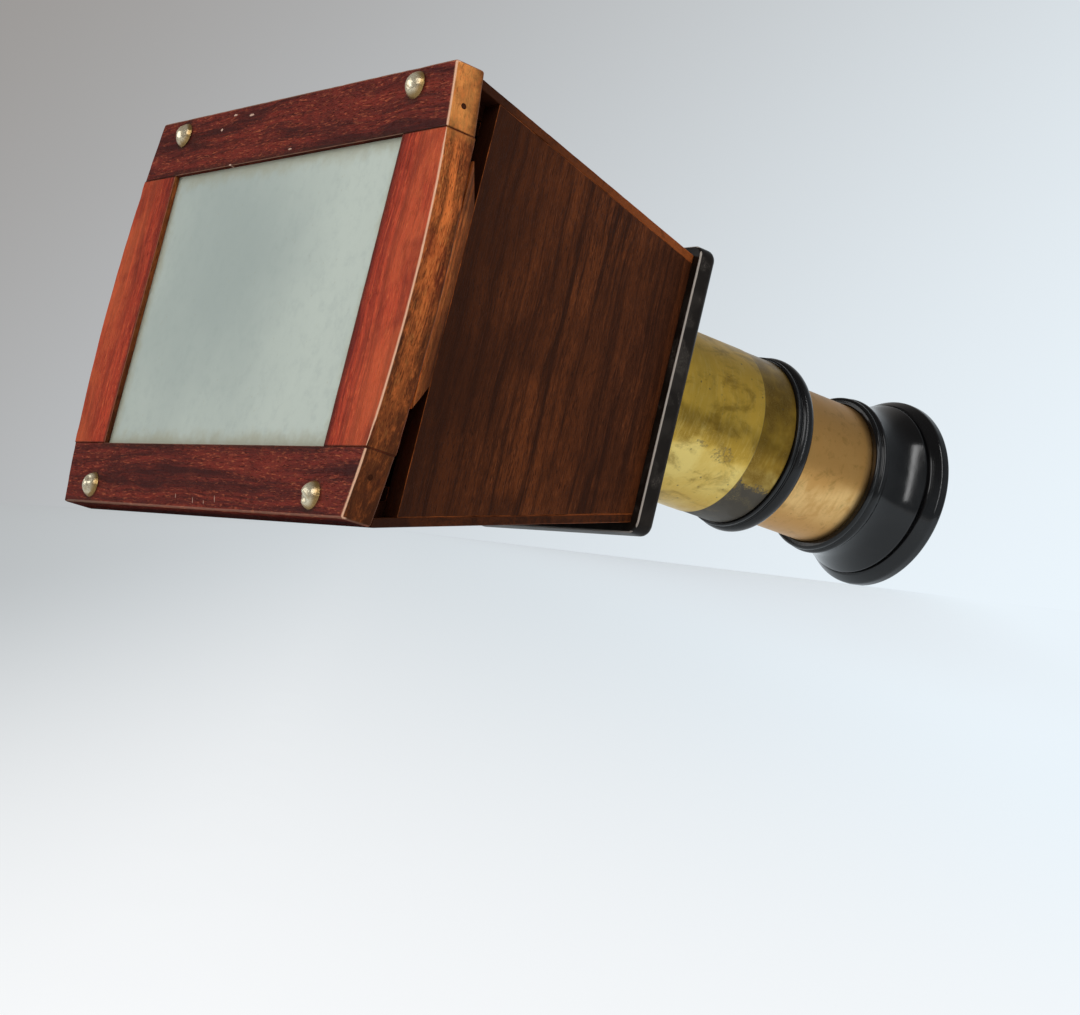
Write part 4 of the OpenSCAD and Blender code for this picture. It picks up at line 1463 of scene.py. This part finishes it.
class VIEWER_OT_barrel(bpy.types.Operator):
    """Turns the brass barrel and dresses its nut"""

    bl_idname = "slide_viewer.barrel"
    bl_label = "Barrel"

    def execute(self, context):
        metal = context.scene.viewer_metal
        brass = barrel_material(metal)
        start, end = reach("barrel")
        _, plate_end = reach("end_plate")
        outer = metal.barrel_diameter / (2 * MM)
        bore = outer - metal.barrel_wall / MM
        seam = metal.seam_place / MM
        lip = max(math.hypot(spot.x, spot.z) for spot in node_spots("barrel"))
        outline = [
            (bore, start),
            (outer, start),
            (outer, plate_end),
            *arc(lip - 0.5, plate_end + 0.5, 0.5, -90.0, 0.0),
            *arc(lip - 0.5, plate_end + 0.9, 0.5, 0.0, 90.0),
            (outer, plate_end + 1.45),
            (outer, seam - 0.06),
            (outer - 0.10, seam),
            (outer - 0.12, seam + 0.5),
            (outer - 0.12, end - 0.3),
            (outer - 0.42, end),
            (bore, end),
        ]
        barrel = turned_piece("brass_barrel", outline, brass)
        hand_over(barrel, "viewer", "barrel_brass", "barrel")
        dress_smooth("clamp_nut", "barrel_nut", "viewer", "barrel_brass", brass)
        return {"FINISHED"}


class VIEWER_OT_collar(bpy.types.Operator):
    """Turns the black collar at the barrel's mouth"""

    bl_idname = "slide_viewer.collar"
    bl_label = "Collar"

    def execute(self, context):
        black = context.scene.viewer_black
        edges = TURNED_ANGLE, black.turned_arris
        finish = ebonite("collar_ebonite", black, share=0.2, rough=0.18, gloss=0.4)
        dress_smooth("turned_collar", "barrel_collar", "viewer", "ebonite", finish, *edges)
        return {"FINISHED"}


class VIEWER_OT_draw_tube(bpy.types.Operator):
    """Turns the draw tube and dresses its guide ring and keepers"""

    bl_idname = "slide_viewer.draw_tube"
    bl_label = "Draw tube"

    def execute(self, context):
        metal = context.scene.viewer_metal
        brass = tube_material(metal)
        start, end = reach("draw_tube")
        outer = metal.tube_diameter / (2 * MM)
        bore = outer - metal.tube_wall / MM
        cut = 0.2
        outline = [
            (bore, start + cut),
            (bore + cut, start),
            (outer - cut, start),
            (outer, start + cut),
            (outer, end - cut),
            (outer - cut, end),
            (bore + cut, end),
            (bore, end - cut),
        ]
        tube = turned_piece("brass_draw_tube", outline, brass)
        hand_over(tube, "draw", "tube_brass", "draw_tube")
        dress_smooth("tube_keepers", "guide_keepers", "draw", "tube_brass", brass)
        dress_smooth("running_ring", "guide_ring", "guide", "tube_brass", brass)
        return {"FINISHED"}


class VIEWER_OT_eyepiece(bpy.types.Operator):
    """Turns the black eyepiece"""

    bl_idname = "slide_viewer.eyepiece"
    bl_label = "Eyepiece"

    def execute(self, context):
        black = context.scene.viewer_black
        edges = TURNED_ANGLE, black.turned_arris
        finish = ebonite("eyepiece_ebonite", black, share=0.25, rough=0.1, gloss=0.42)
        dress_smooth("eyepiece_bell", "eyepiece_cup", "draw", "ebonite", finish, *edges)
        dress_smooth("eyepiece_rim", "eyepiece_cap", "draw", "ebonite", finish, *edges)
        return {"FINISHED"}


class VIEWER_OT_lens(bpy.types.Operator):
    """Dresses the lens, its cell and its ring"""

    bl_idname = "slide_viewer.lens"
    bl_label = "Lens"

    def execute(self, context):
        black = context.scene.viewer_black
        dull = ebonite("cell_black", black, share=0.1, rough=0.5, gloss=0.2)
        clear = lens_material(context.scene.viewer_glass)
        dress_smooth("lens_mount", "lens_cell", "draw", "ebonite", dull)
        dress_smooth("lens_keeper", "lens_ring", "draw", "ebonite", dull)
        dress_smooth("magnifier", "eye_lens", "draw", "lens_glass", clear, LENS_ANGLE)
        return {"FINISHED"}


OPERATORS = (
    VIEWER_OT_stage,
    VIEWER_OT_frame_wood,
    VIEWER_OT_glazing,
    VIEWER_OT_fasteners,
    VIEWER_OT_box_wood,
    VIEWER_OT_end_plate,
    VIEWER_OT_barrel,
    VIEWER_OT_collar,
    VIEWER_OT_draw_tube,
    VIEWER_OT_eyepiece,
    VIEWER_OT_lens,
)
SETTINGS = {
    "viewer_wood": ViewerWoodSettings,
    "viewer_metal": ViewerMetalSettings,
    "viewer_black": ViewerBlackSettings,
    "viewer_glass": ViewerGlassSettings,
    "viewer_stage": ViewerStageSettings,
}


class VIEWER_PT_dresser(bpy.types.Panel):
    """Lists the steps that dress the slide viewer"""

    bl_idname = "VIEWER_PT_dresser"
    bl_label = "Slide Viewer"
    bl_space_type = "VIEW_3D"
    bl_region_type = "UI"
    bl_category = "Slide Viewer"

    def draw(self, context):
        for operator in OPERATORS:
            self.layout.operator(operator.bl_idname)


def register():
    """Adds the settings, the operators and the panel."""
    for kind in (*SETTINGS.values(), *OPERATORS, VIEWER_PT_dresser):
        bpy.utils.register_class(kind)
    for name, kind in SETTINGS.items():
        setattr(bpy.types.Scene, name, PointerProperty(type=kind))


def unregister():
    """Takes away what register added."""
    for name in SETTINGS:
        delattr(bpy.types.Scene, name)
    for kind in reversed((*SETTINGS.values(), *OPERATORS, VIEWER_PT_dresser)):
        bpy.utils.unregister_class(kind)


def main():
    """Dresses the viewer piece by piece."""
    register()
    bpy.ops.slide_viewer.stage()
    bpy.ops.slide_viewer.frame_wood()
    bpy.ops.slide_viewer.glazing()
    bpy.ops.slide_viewer.fasteners()
    bpy.ops.slide_viewer.box_wood()
    bpy.ops.slide_viewer.end_plate()
    bpy.ops.slide_viewer.barrel()
    bpy.ops.slide_viewer.collar()
    bpy.ops.slide_viewer.draw_tube()
    bpy.ops.slide_viewer.eyepiece()
    bpy.ops.slide_viewer.lens()


if __name__ == "__main__":
    main()
